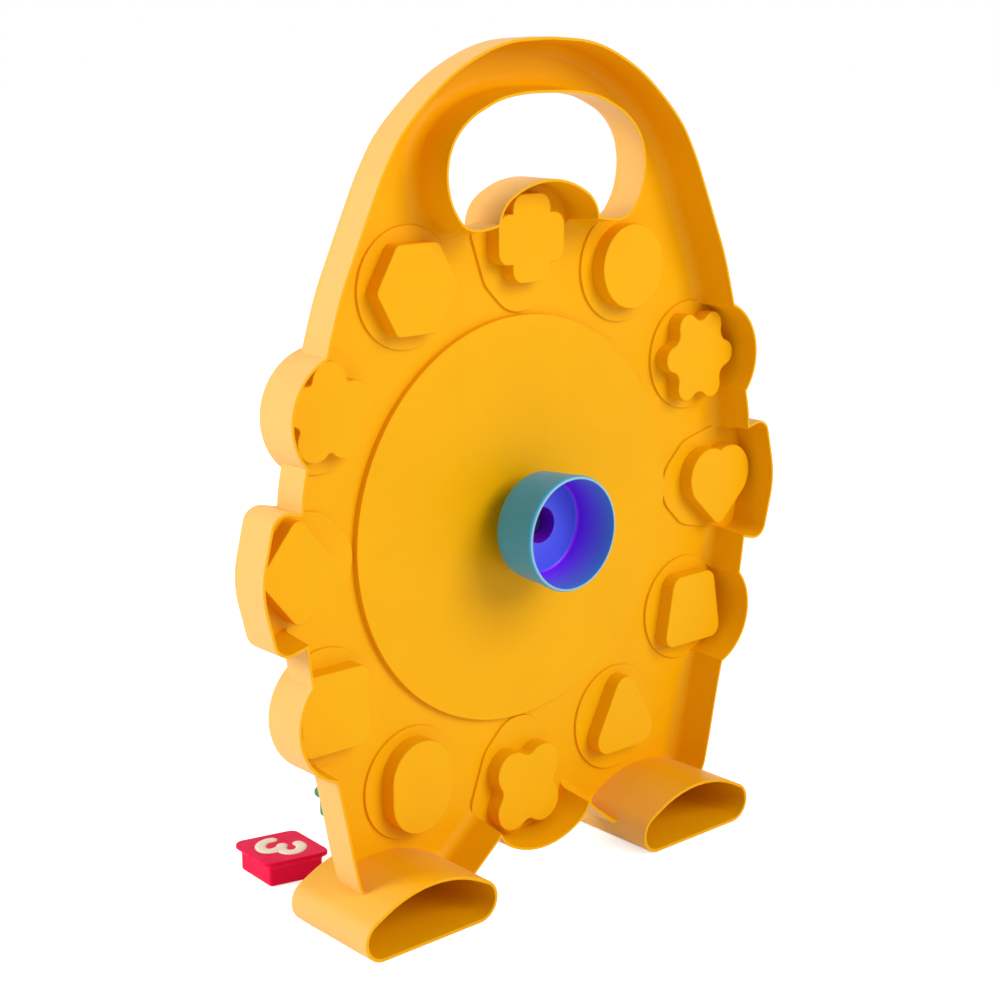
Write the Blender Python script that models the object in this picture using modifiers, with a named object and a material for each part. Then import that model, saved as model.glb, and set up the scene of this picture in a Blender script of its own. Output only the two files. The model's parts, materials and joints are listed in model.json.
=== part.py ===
"""Toy clock with shape-sorting number blocks, in metres, +Z up.

The dial faces -Y and the open back faces +Y.  The clock stands on z = 0 on two hollow feet.
Two of its twelve blocks lie in front of it.  The origin is the middle of the whole footprint.
"""

import math

import bmesh
import bpy
from mathutils import Matrix

# Overall sizes of the clock
WELL_CIRCLE_R = 0.104
ARCH_RISE = 0.1735
LEG_DROP = 0.124
FRAME_HALF_WIDTH = 0.1105
SKIRT_DEPTH = 0.0192
FOOTPRINT_DEPTH = 0.1247

# Walls of the moulded housing
WALL = 0.002
PLATE_T = 0.002
PLATE_GRIP = 0.0002
BODY_ROUND = 0.008
SIDE_LOBE_ROUND = 0.0042
FRONT_ROUND = 0.0018
OVERRUN = 0.004

# Round and keystone dishes around the pockets, and the lobes that carry them
DISH_R = 0.0214
DISH_DEPTH = 0.0011
LOBE_RIM = 0.0011
KEY_INNER_R = 0.0137
KEY_INNER_SHIFT = 0.0132
KEY_WAIST_R = 0.0128
KEY_WAIST_SHIFT = 0.009
KEY_WAIST_SIDE = 0.0055
KEY_CORNER_R = 0.0052
KEY_CORNER_OUT = 0.0114
KEY_CORNER_SIDE = 0.0181
KEY_CROWN_R = 0.033
KEY_OUTER_REACH = 0.02025
KEY_SOFT_CORNER_R = 0.012

# Pockets that take the plugs of the blocks
POCKET_DEPTH = 0.00645
POCKET_WALL = 0.0018
POCKET_FIT = 0.0004
REST_GAP = 0.0003

# Dial recess in the middle of the front
DIAL_BOSS_R = 0.0762
DIAL_RECESS_DEPTH = 0.0025
DIAL_T = 0.0019
DIAL_FIT = 0.0004

# Carrying handle
HOLE_HALF_WIDTH = 0.0465
HOLE_TOP = 0.1546
HOLE_BASE = 0.1099

# Feet, each a cup that is closed at the front
FOOT_CENTRE_X = 0.0679
FOOT_HALF_WIDTH = 0.03
FOOT_HEIGHT = 0.0228
FOOT_END_R = 0.0081
FOOT_CROWN_SHARE = 0.97
FOOT_DEPTH = 0.0449
FOOT_REACH = 0.0106
FOOT_ROUND = 0.002
FOOT_WALL = 0.0018
LEG_IN_FOOT = 0.0108

# Blocks
PLUG_H = 0.0064
COVE_H = 0.0026
COVE_SPREAD = 0.0022
FLANGE_T = 0.0014
BLOCK_ROUND = 0.0004
PLUG_CHAMFER = 0.0005
COVE_KNEE_HEIGHT_SHARE = 0.7
COVE_KNEE_SPREAD_SHARE = 0.45

# Loose blocks on the floor in front of the clock
LOOSE_RED_X = 0.0748
LOOSE_RED_AHEAD = 0.0482
LOOSE_RED_TURN = math.radians(37.0)
LOOSE_GREEN_X = 0.019
LOOSE_GREEN_TURN = math.radians(12.3)

# Plug of each block: sizes of its outline
DISC_R = 0.0137
HEXAGON_OUT = 0.0147
HEXAGON_CORNER_R = 0.0008
SQUARE_HALF = 0.0124
SQUARE_CORNER_R = 0.0022
DIAMOND_HALF_WIDTH = 0.0133
DIAMOND_HALF_HEIGHT = 0.0158
DIAMOND_CORNER_R = 0.0014
OVAL_HALF_WIDTH = 0.0115
OVAL_HALF_HEIGHT = 0.0155
TRAPEZOID_TOP_HALF = 0.0102
TRAPEZOID_FOOT_HALF = 0.0135
TRAPEZOID_TOP = 0.0131
TRAPEZOID_FOOT = 0.0115
TRAPEZOID_TOP_R = 0.003
TRAPEZOID_FOOT_R = 0.0026
TRIANGLE_TOP = 0.0162
TRIANGLE_FOOT = 0.0098
TRIANGLE_HALF_WIDTH = 0.0131
TRIANGLE_CORNER_R = 0.004
HEART_LOBE_X = 0.0055
HEART_LOBE_Z = 0.002
HEART_LOBE_R = 0.0096
HEART_TIP_Z = 0.0142
HEART_TIP_R = 0.0016
FLOWER_TIP = 0.01565
FLOWER_NOTCH = 0.0109
FLOWER_LOBE_R = 0.005
CLOVER_TIP = 0.0165
CLOVER_NOTCH = 0.0109
CLOVER_LOBE_R = 0.006
STAR_TIP = 0.0167
STAR_NOTCH = 0.012
STAR_LOBE_R = 0.003
CROSS_HALF_LENGTH = 0.0136
CROSS_HALF_WIDTH = 0.0068
CROSS_CORNER_R = 0.0027

# Turning train: knob, spindle, bush and hands
SPINDLE_R = 0.003
RUN_FIT = 0.0003
BUSH_WALL = 0.0019
BUSH_FLANGE_R = 0.009
BUSH_FLANGE_T = 0.0012
HOUR_HAND_T = 0.0021
HAND_WASHER_T = 0.0007
HAND_WASHER_R = 0.0065
MINUTE_HAND_T = 0.0022
CAP_R = 0.0085
CAP_H = 0.0032
CAP_LIP = 0.0008
CAP_DOME_SHARES = (0.35, 0.65, 0.85)
SPINDLE_NOSE = 0.0012
FRICTION_WASHER_R = 0.0085
FRICTION_WASHER_T = 0.0008
KNOB_SLEEVE_R = 0.0086
KNOB_STANDOFF = 0.0082
KNOB_BASE_R = 0.0199
KNOB_RIM_R = 0.0214
KNOB_LENGTH = 0.02
KNOB_WALL = 0.0014
KNOB_FLOOR_T = 0.0025
KNOB_WELL_R = 0.0066
KNOB_WEB_T = 0.0022
KNOB_EDGE = 0.0006
SCREW_HEAD_R = 0.0048
SCREW_HEAD_H = 0.0024
SCREW_SHANK_R = 0.0014
SCREW_LENGTH = 0.0085
SCREW_RECESS_R = 0.0018
SCREW_RECESS_DEPTH = 0.0012
SCREW_CROWN_SHARE = 0.8
SCREW_SHOULDER_SHARE = 0.6

# Hands
MINUTE_HAND_LENGTH = 0.071
HOUR_HAND_LENGTH = 0.05
MINUTE_HUB_R = 0.0095
HOUR_HUB_R = 0.011
MINUTE_STEM_HALF = 0.0034
HOUR_STEM_HALF = 0.0044
MINUTE_HEAD_HALF = 0.0078
HOUR_HEAD_HALF = 0.0098
MINUTE_HEAD_LENGTH = 0.021
HOUR_HEAD_LENGTH = 0.021
HAND_TIP_R = 0.0016
HOUR_ANGLE = math.radians(-55.0)
MINUTE_ANGLE = math.radians(60.0)

# Fineness of round shapes
ARC_STEP = math.radians(18.0)
CORNER_STEP = math.radians(45.0)
ROUND_STEPS = 3
KNOB_STEPS = 36
TURN_STEPS = 24
SMOOTH_ANGLE = math.radians(32.0)
WELD = 0.00001

# Height of the dial's centre: the legs reach down into the feet, and the feet stand on z = 0
CLOCK_HEIGHT = LEG_DROP + FOOT_HEIGHT - LEG_IN_FOOT

# Hours whose wells reach past the frame and stand on lobes
LOBE_HOURS = (2, 3, 4, 6, 8, 9, 10, 12)

# Places along Y, worked out from the rear of the feet
FOOT_REAR_Y = FOOTPRINT_DEPTH / 2
FOOT_FRONT_Y = FOOT_REAR_Y - FOOT_DEPTH
FRONT_Y = FOOT_FRONT_Y + FOOT_REACH
PLATE_REAR_Y = FRONT_Y + PLATE_T
PLATE_MID_Y = FRONT_Y + PLATE_T / 2
RIM_Y = FRONT_Y + SKIRT_DEPTH
DISH_FLOOR_Y = FRONT_Y + DISH_DEPTH
POCKET_FLOOR_Y = DISH_FLOOR_Y + POCKET_DEPTH
DIAL_FLOOR_Y = FRONT_Y + DIAL_RECESS_DEPTH
DIAL_REAR_Y = DIAL_FLOOR_Y + PLATE_T
DIAL_BACK_Y = DIAL_FLOOR_Y - REST_GAP
DIAL_FACE_Y = DIAL_BACK_Y - DIAL_T

# Outline of the frame, from the top of the arch down to the foot, for x > 0.
# Each pair is a share of FRAME_HALF_WIDTH and of ARCH_RISE (above the centre) or LEG_DROP (below).
FRAME_SHARES = [
    (0.0, 1.0), (0.163, 0.993), (0.297, 0.967), (0.438, 0.917), (0.585, 0.835),
    (0.663, 0.764), (0.723, 0.688), (0.783, 0.605), (0.837, 0.527), (0.885, 0.432),
    (0.927, 0.34), (0.966, 0.227), (0.987, 0.164), (0.998, 0.08), (1.0, 0.0),
    (0.991, -0.121), (0.975, -0.247), (0.95, -0.379), (0.918, -0.492), (0.883, -0.593),
    (0.85, -0.726), (0.82, -0.86), (0.785, -0.955), (0.69, -1.0),
]
# Inner edge of a leg, from the foot up to the lobe under six o'clock
LEG_INNER_SHARES = [(0.33, -1.02), (0.226, -0.943), (0.19, -0.915)]

# Outline of the handle hole, from its top to its lower edge, for x > 0: shares of HOLE_HALF_WIDTH
# and of the height between HOLE_BASE and HOLE_TOP.
HOLE_SHARES = [
    (0.0, 1.0), (0.235, 0.995), (0.471, 0.958), (0.66, 0.884), (0.79, 0.81), (0.905, 0.7),
    (0.976, 0.566), (1.0, 0.407), (0.976, 0.248), (0.918, 0.125), (0.84, 0.035), (0.729, 0.0),
    (0.613, 0.009), (0.45, 0.04),
]


# Outlines

def arc(x, z, radius, start, end, step=ARC_STEP):
    """Points of an arc from the angle start to end, counter-clockwise, both ends included."""
    count = max(1, math.ceil((end - start) / step - 0.001))
    angles = [start + (end - start) * i / count for i in range(count + 1)]
    return [(x + radius * math.cos(a), z + radius * math.sin(a)) for a in angles]


def hull(circles, grow, step=ARC_STEP):
    """Outline round circles (x, z, radius) listed counter-clockwise, each grown by grow."""
    turns = []
    for i, (x1, z1, r1) in enumerate(circles):
        x2, z2, r2 = circles[(i + 1) % len(circles)]
        run = math.hypot(x2 - x1, z2 - z1)
        turns.append(math.atan2(z2 - z1, x2 - x1) - math.acos((r1 - r2) / run))
    points = []
    for i, (x, z, radius) in enumerate(circles):
        start = turns[i - 1]
        end = turns[i]
        while end < start:
            end += 2 * math.pi
        while end - start >= 2 * math.pi:
            end -= 2 * math.pi
        points += arc(x, z, radius + grow, start, end, step)
    return points


def ring_of(count, out, radius, first=0.0):
    """Circles of one radius spaced evenly round the centre."""
    places = []
    for i in range(count):
        angle = first + 2 * math.pi * i / count
        places.append((out * math.cos(angle), out * math.sin(angle), radius))
    return places


def circle_outline(grow):
    """Round plug."""
    return arc(0, 0, DISC_R + grow, 0, 2 * math.pi)[:-1]


def hexagon_outline(grow):
    """Hexagon with a corner at each side."""
    return hull(ring_of(6, HEXAGON_OUT, HEXAGON_CORNER_R), grow, CORNER_STEP)


def square_outline(grow):
    """Square with rounded corners."""
    inner = SQUARE_HALF - SQUARE_CORNER_R
    return hull(ring_of(4, math.sqrt(2) * inner, SQUARE_CORNER_R, math.pi / 4), grow, CORNER_STEP)


def diamond_outline(grow):
    """Diamond, a little taller than wide."""
    wide = DIAMOND_HALF_WIDTH - DIAMOND_CORNER_R
    tall = DIAMOND_HALF_HEIGHT - DIAMOND_CORNER_R
    radius = DIAMOND_CORNER_R
    places = [(wide, 0, radius), (0, tall, radius), (-wide, 0, radius), (0, -tall, radius)]
    return hull(places, grow, CORNER_STEP)


def oval_outline(grow):
    """Upright oval."""
    shift = OVAL_HALF_HEIGHT - OVAL_HALF_WIDTH
    return hull([(0, shift, OVAL_HALF_WIDTH), (0, -shift, OVAL_HALF_WIDTH)], grow)


def trapezoid_outline(grow):
    """Trapezoid, wider at its foot."""
    top_x = TRAPEZOID_TOP_HALF - TRAPEZOID_TOP_R
    top_z = TRAPEZOID_TOP - TRAPEZOID_TOP_R
    foot_x = TRAPEZOID_FOOT_HALF - TRAPEZOID_FOOT_R
    foot_z = TRAPEZOID_FOOT - TRAPEZOID_FOOT_R
    places = [(foot_x, -foot_z, TRAPEZOID_FOOT_R), (top_x, top_z, TRAPEZOID_TOP_R),
              (-top_x, top_z, TRAPEZOID_TOP_R), (-foot_x, -foot_z, TRAPEZOID_FOOT_R)]
    return hull(places, grow, CORNER_STEP)


def triangle_outline(grow):
    """Triangle with its point up."""
    radius = TRIANGLE_CORNER_R
    side = TRIANGLE_HALF_WIDTH - radius
    foot = TRIANGLE_FOOT - radius
    places = [(side, -foot, radius), (0, TRIANGLE_TOP - radius, radius), (-side, -foot, radius)]
    return hull(places, grow, CORNER_STEP)


def heart_outline(grow):
    """Upright heart: two lobes that meet in a shallow notch, and a rounded tip."""
    radius = HEART_LOBE_R + grow
    run = math.hypot(HEART_LOBE_X, HEART_LOBE_Z + HEART_TIP_Z)
    rise = math.atan2(HEART_LOBE_Z + HEART_TIP_Z, HEART_LOBE_X)
    side = rise - math.acos((HEART_TIP_R - HEART_LOBE_R) / run)
    notch = math.acos(-HEART_LOBE_X / radius)
    right = arc(HEART_LOBE_X, HEART_LOBE_Z, radius, side, notch, (notch - side) / 10)
    left = [(-x, z) for x, z in reversed(right)][1:]
    tip = arc(0, -HEART_TIP_Z, HEART_TIP_R + grow, math.pi - side, 2 * math.pi + side, CORNER_STEP)
    return right + left + tip


def rosette(count, tip, notch, lobe_r, first, grow):
    """Lobes that run into one another through hollow notches; tip and notch are radii."""
    half = math.pi / count
    out = tip - lobe_r
    beside = out * math.cos(half)
    hollow_r = ((out ** 2 + notch ** 2 - 2 * notch * beside - lobe_r ** 2)
                / (2 * (beside + lobe_r - notch)))
    hollow_out = notch + hollow_r
    lean = math.atan2(hollow_out * math.sin(half), hollow_out * math.cos(half) - out)
    turn = lean - half
    points = []
    for i in range(count):
        angle = first + 2 * half * i
        centre = (out * math.cos(angle), out * math.sin(angle))
        points += arc(*centre, lobe_r + grow, angle - lean, angle + lean, lean / 2)
        angle += half
        centre = (hollow_out * math.cos(angle), hollow_out * math.sin(angle))
        hollow = arc(*centre, hollow_r - grow, angle + math.pi - turn, angle + math.pi + turn,
                     turn)
        points += hollow[-2:0:-1]
    return points


def flower_outline(grow):
    """Flower of five petals, one straight up."""
    return rosette(5, FLOWER_TIP, FLOWER_NOTCH, FLOWER_LOBE_R, math.pi / 2, grow)


def clover_outline(grow):
    """Four-leaved clover with its leaves on the diagonals."""
    return rosette(4, CLOVER_TIP, CLOVER_NOTCH, CLOVER_LOBE_R, math.pi / 4, grow)


def star_outline(grow):
    """Six-pointed star with rounded tips and a point at each side."""
    return rosette(6, STAR_TIP, STAR_NOTCH, STAR_LOBE_R, 0, grow)


def cross_outline(grow):
    """Upright cross with rounded arms."""
    inner = CROSS_HALF_WIDTH - CROSS_CORNER_R
    out = CROSS_HALF_LENGTH - CROSS_CORNER_R
    notch = CROSS_HALF_WIDTH + grow
    radius = CROSS_CORNER_R + grow
    arm = [(notch, notch)]
    arm += arc(inner, out, radius, 0, math.pi / 2, CORNER_STEP)
    arm += arc(-inner, out, radius, math.pi / 2, math.pi, CORNER_STEP)
    points = []
    for _ in range(4):
        points += arm
        arm = [(-z, x) for x, z in arm]
    return points


PLUG_OUTLINES = {
    1: hexagon_outline, 2: flower_outline, 3: diamond_outline, 4: square_outline,
    5: oval_outline, 6: clover_outline, 7: triangle_outline, 8: trapezoid_outline,
    9: heart_outline, 10: star_outline, 11: circle_outline, 12: cross_outline,
}


def hour_angle(hour):
    """Angle of an hour from twelve, clockwise as seen from the front."""
    return hour * math.pi / 6


def well_centre(hour):
    """Place of a well round the dial's centre."""
    return (WELL_CIRCLE_R * math.sin(hour_angle(hour)), WELL_CIRCLE_R * math.cos(hour_angle(hour)))


def dish_outline(hour, grow):
    """Dish of one hour about the dial's centre: a keystone at the quarters, else a round.

    The keystones above and below the centre have softer corners.
    """
    x, z = well_centre(hour)
    if hour % 3:
        return arc(x, z, DISH_R + grow, 0, 2 * math.pi)[:-1]
    radius = KEY_CORNER_R
    side = KEY_CORNER_SIDE
    out = KEY_CORNER_OUT
    if hour % 6 == 0:
        radius = KEY_SOFT_CORNER_R
        side = KEY_CORNER_SIDE + KEY_CORNER_R - radius
        run = math.sqrt((KEY_CROWN_R - radius) ** 2 - side ** 2)
        out = KEY_OUTER_REACH - KEY_CROWN_R + run + WELD
    circles = [(0, -KEY_INNER_SHIFT, KEY_INNER_R), (KEY_WAIST_SIDE, -KEY_WAIST_SHIFT, KEY_WAIST_R),
               (side, out, radius), (0, KEY_OUTER_REACH - KEY_CROWN_R, KEY_CROWN_R),
               (-side, out, radius), (-KEY_WAIST_SIDE, -KEY_WAIST_SHIFT, KEY_WAIST_R)]
    angle = hour_angle(hour)
    points = []
    for px, pz in hull(circles, grow):
        points.append((x + px * math.cos(angle) + pz * math.sin(angle),
                       z - px * math.sin(angle) + pz * math.cos(angle)))
    return points


def moved(points, x, z):
    """The same outline about another centre."""
    return [(px + x, pz + z) for px, pz in points]


def smooth_through(points, steps):
    """Points of a smooth curve through the given ones."""
    ends = [points[0]] + list(points) + [points[-1]]
    curve = []
    for p0, p1, p2, p3 in zip(ends, ends[1:], ends[2:], ends[3:]):
        for i in range(steps):
            t = i / steps
            curve.append(tuple(
                (2 * b + (c - a) * t + (2 * a - 5 * b + 4 * c - d) * t ** 2
                 + (3 * b - a - 3 * c + d) * t ** 3) / 2
                for a, b, c, d in zip(p0, p1, p2, p3)))
    return curve + [points[-1]]


def both_sides(half):
    """Closed outline from its half at x > 0, which runs from top to bottom."""
    right = [p for p in half if p[0] > WELD]
    left = [(-x, z) for x, z in reversed(right)]
    middle = [p for p in half if p[0] <= WELD]
    return middle + [(-x, z) for x, z in right] + [(-x, z) for x, z in left]


def offset(points, distance):
    """Counter-clockwise outline moved outward by distance, or inward where it is negative."""
    result = []
    for i, (x, z) in enumerate(points):
        xa, za = points[i - 1]
        xb, zb = points[(i + 1) % len(points)]
        before = math.hypot(x - xa, z - za)
        after = math.hypot(xb - x, zb - z)
        na = ((z - za) / before, (xa - x) / before)
        nb = ((zb - z) / after, (x - xb) / after)
        share = distance / (1 + na[0] * nb[0] + na[1] * nb[1])
        result.append((x + share * (na[0] + nb[0]), z + share * (na[1] + nb[1])))
    return result


def frame_outline():
    """Arch, sides and legs about the dial's centre."""
    half = []
    for wide, high in FRAME_SHARES:
        rise = ARCH_RISE if high > 0 else LEG_DROP
        half.append((wide * FRAME_HALF_WIDTH, high * rise))
    half = smooth_through(half, 2)
    half += [(wide * FRAME_HALF_WIDTH, high * LEG_DROP) for wide, high in LEG_INNER_SHARES]
    return both_sides(half)


def hole_outline():
    """Handle hole about the dial's centre."""
    rise = HOLE_TOP - HOLE_BASE
    half = [(wide * HOLE_HALF_WIDTH, HOLE_BASE + high * rise) for wide, high in HOLE_SHARES]
    return both_sides(smooth_through(half, 2))


def foot_outline(side, grow):
    """Section of a foot about the dial's centre: flat below, arched above."""
    end_x = FOOT_HALF_WIDTH - FOOT_END_R
    rise = FOOT_HEIGHT - FOOT_END_R
    touching = (end_x ** 2 + rise ** 2 - FOOT_END_R ** 2) / (2 * (rise - FOOT_END_R))
    crown = touching * FOOT_CROWN_SHARE
    circles = [(end_x, FOOT_END_R, FOOT_END_R), (0, FOOT_HEIGHT - crown, crown),
               (-end_x, FOOT_END_R, FOOT_END_R)]
    return moved(hull(circles, grow), side * FOOT_CENTRE_X, -CLOCK_HEIGHT)


def hand_outline(length, hub_r, stem_half, head_half, head_length):
    """Arrow-headed hand that points up from its hub."""
    start = math.acos(stem_half / hub_r)
    head_z = length - head_length
    points = arc(0, 0, hub_r, math.pi - start, 2 * math.pi + start)
    points += [(stem_half, head_z), (head_half, head_z)]
    points += arc(0, length - HAND_TIP_R, HAND_TIP_R, CORNER_STEP, math.pi - CORNER_STEP, CORNER_STEP)
    points += [(-head_half, head_z), (-stem_half, head_z)]
    return points


# Building

def clear_scene():
    """Remove every object of the scene."""
    for item in list(bpy.data.objects):
        bpy.data.objects.remove(item, do_unlink=True)


def new_collection(name):
    """Collection linked to the scene."""
    collection = bpy.data.collections.new(name)
    bpy.context.scene.collection.children.link(collection)
    return collection


def material(name, colour, roughness, metallic=0.0):
    """Principled material of one finish."""
    made = bpy.data.materials.new(name)
    made.use_nodes = True
    shader = made.node_tree.nodes["Principled BSDF"]
    shader.inputs["Base Color"].default_value = (*colour, 1.0)
    shader.inputs["Roughness"].default_value = roughness
    shader.inputs["Metallic"].default_value = metallic
    return made


def finish(item, finish_material, collection):
    """Put a part in its collection, with its material and smooth shading."""
    collection.objects.link(item)
    item.data.materials.clear()
    item.data.materials.append(finish_material)
    item.data.shade_smooth()
    item.data.set_sharp_from_angle(angle=SMOOTH_ANGLE)
    return item


def as_guide(item, collection):
    """Put a cutter or a shape to be joined in a collection of guides."""
    collection.objects.link(item)
    item.hide_render = True
    item.display_type = "WIRE"
    return item


def frozen(item):
    """Mesh of an object as the viewport evaluates it, with loose caps welded."""
    graph = bpy.context.evaluated_depsgraph_get()
    mesh = bpy.data.meshes.new_from_object(item.evaluated_get(graph))
    work = bmesh.new()
    work.from_mesh(mesh)
    bmesh.ops.remove_doubles(work, verts=work.verts, dist=WELD)
    work.to_mesh(mesh)
    work.free()
    return mesh


def prism(name, outlines, front_y, rear_y, rounding=0.0, steps=1):
    """Flat outline about the dial's centre as a solid between two planes.

    A second outline is a hole, listed clockwise.  Both edges are rounded where rounding is given.
    """
    curve = bpy.data.curves.new(name, "CURVE")
    curve.dimensions = "2D"
    curve.fill_mode = "BOTH"
    curve.extrude = (rear_y - front_y) / 2 - rounding
    curve.bevel_depth = rounding
    curve.bevel_resolution = steps
    curve.offset = -rounding
    for outline in outlines:
        spline = curve.splines.new("POLY")
        spline.points.add(len(outline) - 1)
        for point, (x, z) in zip(spline.points, outline):
            point.co = (x, z, 0, 1)
        spline.use_cyclic_u = True
    shape = bpy.data.objects.new(name + "_outline", curve)
    bpy.context.scene.collection.objects.link(shape)
    shape.location = (0, (front_y + rear_y) / 2, CLOCK_HEIGHT)
    shape.rotation_euler = (math.pi / 2, 0, 0)
    bpy.context.view_layer.update()
    item = bpy.data.objects.new(name, frozen(shape))
    item.matrix_world = shape.matrix_world
    bpy.data.objects.remove(shape, do_unlink=True)
    bpy.data.curves.remove(curve)
    return item


def combine(item, operation, operand):
    """Boolean modifier with an object or with a whole collection."""
    step = item.modifiers.new(operation.title(), "BOOLEAN")
    step.operation = operation
    step.solver = "EXACT"
    if isinstance(operand, bpy.types.Collection):
        step.operand_type = "COLLECTION"
        step.collection = operand
    else:
        step.object = operand


def turned(name, profile, closed, steps=TURN_STEPS):
    """Turned solid about the dial's axis.

    The profile's pairs are a radius and a place along Y, down the outer side from rear to front.
    """
    mesh = bpy.data.meshes.new(name + "_profile")
    count = len(profile)
    edges = [(i, i + 1) for i in range(count - 1)]
    if closed:
        edges.append((count - 1, 0))
    mesh.from_pydata([(radius, 0, along) for radius, along in profile], edges, [])
    item = bpy.data.objects.new(name + "_profile", mesh)
    bpy.context.scene.collection.objects.link(item)
    screw = item.modifiers.new("Turn", "SCREW")
    screw.angle = 2 * math.pi
    screw.steps = steps
    screw.render_steps = steps
    screw.use_merge_vertices = True
    screw.merge_threshold = WELD
    bpy.context.view_layer.update()
    solid = bpy.data.objects.new(name, frozen(item))
    bpy.data.objects.remove(item, do_unlink=True)
    bpy.data.meshes.remove(mesh)
    solid.location = (0, 0, CLOCK_HEIGHT)
    solid.rotation_euler = (-math.pi / 2, 0, 0)
    return solid


def loft(name, sections):
    """Solid between outlines of one point count at rising heights."""
    work = bmesh.new()
    rings = []
    for height, outline in sections:
        rings.append([work.verts.new((x, z, height)) for x, z in outline])
    work.faces.new(list(reversed(rings[0])))
    work.faces.new(rings[-1])
    for low, high in zip(rings, rings[1:]):
        for i in range(len(low)):
            work.faces.new((low[i - 1], low[i], high[i], high[i - 1]))
    bmesh.ops.remove_doubles(work, verts=work.verts, dist=WELD)
    mesh = bpy.data.meshes.new(name)
    work.to_mesh(mesh)
    work.free()
    return bpy.data.objects.new(name, mesh)


# Housing

def lobe_round(hour):
    """Rounding of the front edge of a lobe, larger on the keystones at the sides."""
    return SIDE_LOBE_ROUND if hour in (3, 9) else FRONT_ROUND


def housing_skin(guides):
    """Solid body of the housing and the lobes to be joined to it."""
    outlines = [frame_outline(), hole_outline()[::-1]]
    rear = RIM_Y + BODY_ROUND + OVERRUN
    body = prism("body", outlines, FRONT_Y, rear, BODY_ROUND, ROUND_STEPS)
    lobes = bpy.data.collections.new("lobes")
    guides.children.link(lobes)
    for hour in LOBE_HOURS:
        outline = dish_outline(hour, LOBE_RIM)
        as_guide(prism(f"lobe_{hour}", [outline], FRONT_Y, rear, lobe_round(hour)), lobes)
    return as_guide(body, guides), lobes


def housing_cavity(guides):
    """Hollow of the back: the inset arch and the inset lobes."""
    cavity = bpy.data.collections.new("cavity")
    guides.children.link(cavity)
    rear = RIM_Y + BODY_ROUND + 2 * OVERRUN
    outlines = [offset(frame_outline(), -WALL), offset(hole_outline(), WALL)[::-1]]
    rounding = BODY_ROUND - WALL
    inner = prism("cavity_body", outlines, PLATE_REAR_Y, rear, rounding, ROUND_STEPS)
    as_guide(inner, cavity)
    for hour in LOBE_HOURS:
        outline = dish_outline(hour, LOBE_RIM - WALL)
        rounding = max(0.0, lobe_round(hour) - WALL)
        as_guide(prism(f"cavity_{hour}", [outline], PLATE_REAR_Y, rear, rounding), cavity)
    return cavity


def housing_additions(guides, past_feet):
    """Walls and bosses that stand on the back of the plate, and the feet."""
    additions = bpy.data.collections.new("additions")
    guides.children.link(additions)
    dial = arc(0, 0, DIAL_BOSS_R, 0, 2 * math.pi, ARC_STEP / 2)[:-1]
    as_guide(prism("dial_boss", [dial], PLATE_MID_Y, DIAL_REAR_Y), additions)
    for hour, outline in PLUG_OUTLINES.items():
        centre = well_centre(hour)
        front = PLATE_REAR_Y - PLATE_GRIP
        rear = DISH_FLOOR_Y + PLATE_T
        as_guide(prism(f"dish_{hour}", [dish_outline(hour, 0)], front, rear), additions)
        boss = moved(outline(POCKET_FIT + POCKET_WALL), *centre)
        boss_rear = POCKET_FLOOR_Y + PLATE_T
        as_guide(prism(f"boss_{hour}", [boss], PLATE_MID_Y, boss_rear), additions)
    for side in (-1, 1):
        rear = FOOT_REAR_Y + FOOT_ROUND + OVERRUN
        foot = prism(f"foot_{side}", [foot_outline(side, 0)], FOOT_FRONT_Y, rear, FOOT_ROUND)
        combine(foot, "DIFFERENCE", past_feet)
        as_guide(foot, additions)
    return additions


def housing_cuts(guides):
    """Recesses, pockets, bore and the cups of the feet."""
    cuts = bpy.data.collections.new("cuts")
    guides.children.link(cuts)
    ahead = FRONT_Y - OVERRUN
    recess = arc(0, 0, DIAL_BOSS_R - WALL, 0, 2 * math.pi, ARC_STEP / 2)[:-1]
    as_guide(prism("dial_recess", [recess], ahead, DIAL_FLOOR_Y), cuts)
    bore = arc(0, 0, SPINDLE_R + BUSH_WALL + 2 * RUN_FIT, 0, 2 * math.pi)[:-1]
    as_guide(prism("bore", [bore], ahead, DIAL_REAR_Y + OVERRUN), cuts)
    for hour, outline in PLUG_OUTLINES.items():
        dish = dish_outline(hour, -POCKET_WALL)
        as_guide(prism(f"dish_cut_{hour}", [dish], ahead, DISH_FLOOR_Y), cuts)
        pocket = moved(outline(POCKET_FIT), *well_centre(hour))
        as_guide(prism(f"pocket_{hour}", [pocket], ahead, POCKET_FLOOR_Y), cuts)
    for side in (-1, 1):
        front = FOOT_FRONT_Y + FOOT_WALL
        rear = FOOT_REAR_Y + FOOT_ROUND + 2 * OVERRUN
        cup = prism(f"cup_{side}", [foot_outline(side, -FOOT_WALL)], front, rear)
        as_guide(cup, cuts)
    return cuts


def slab(name, front_y, rear_y):
    """Block wide enough to trim the whole housing between two planes."""
    bpy.ops.mesh.primitive_cube_add(size=1.0)
    item = bpy.context.object
    item.name = name
    width = 4 * FRAME_HALF_WIDTH
    height = 2 * (CLOCK_HEIGHT + ARCH_RISE)
    item.data.transform(Matrix.Diagonal((width, rear_y - front_y, height, 1)))
    item.location = (0, (front_y + rear_y) / 2, CLOCK_HEIGHT)
    for owner in list(item.users_collection):
        owner.objects.unlink(item)
    return item


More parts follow.
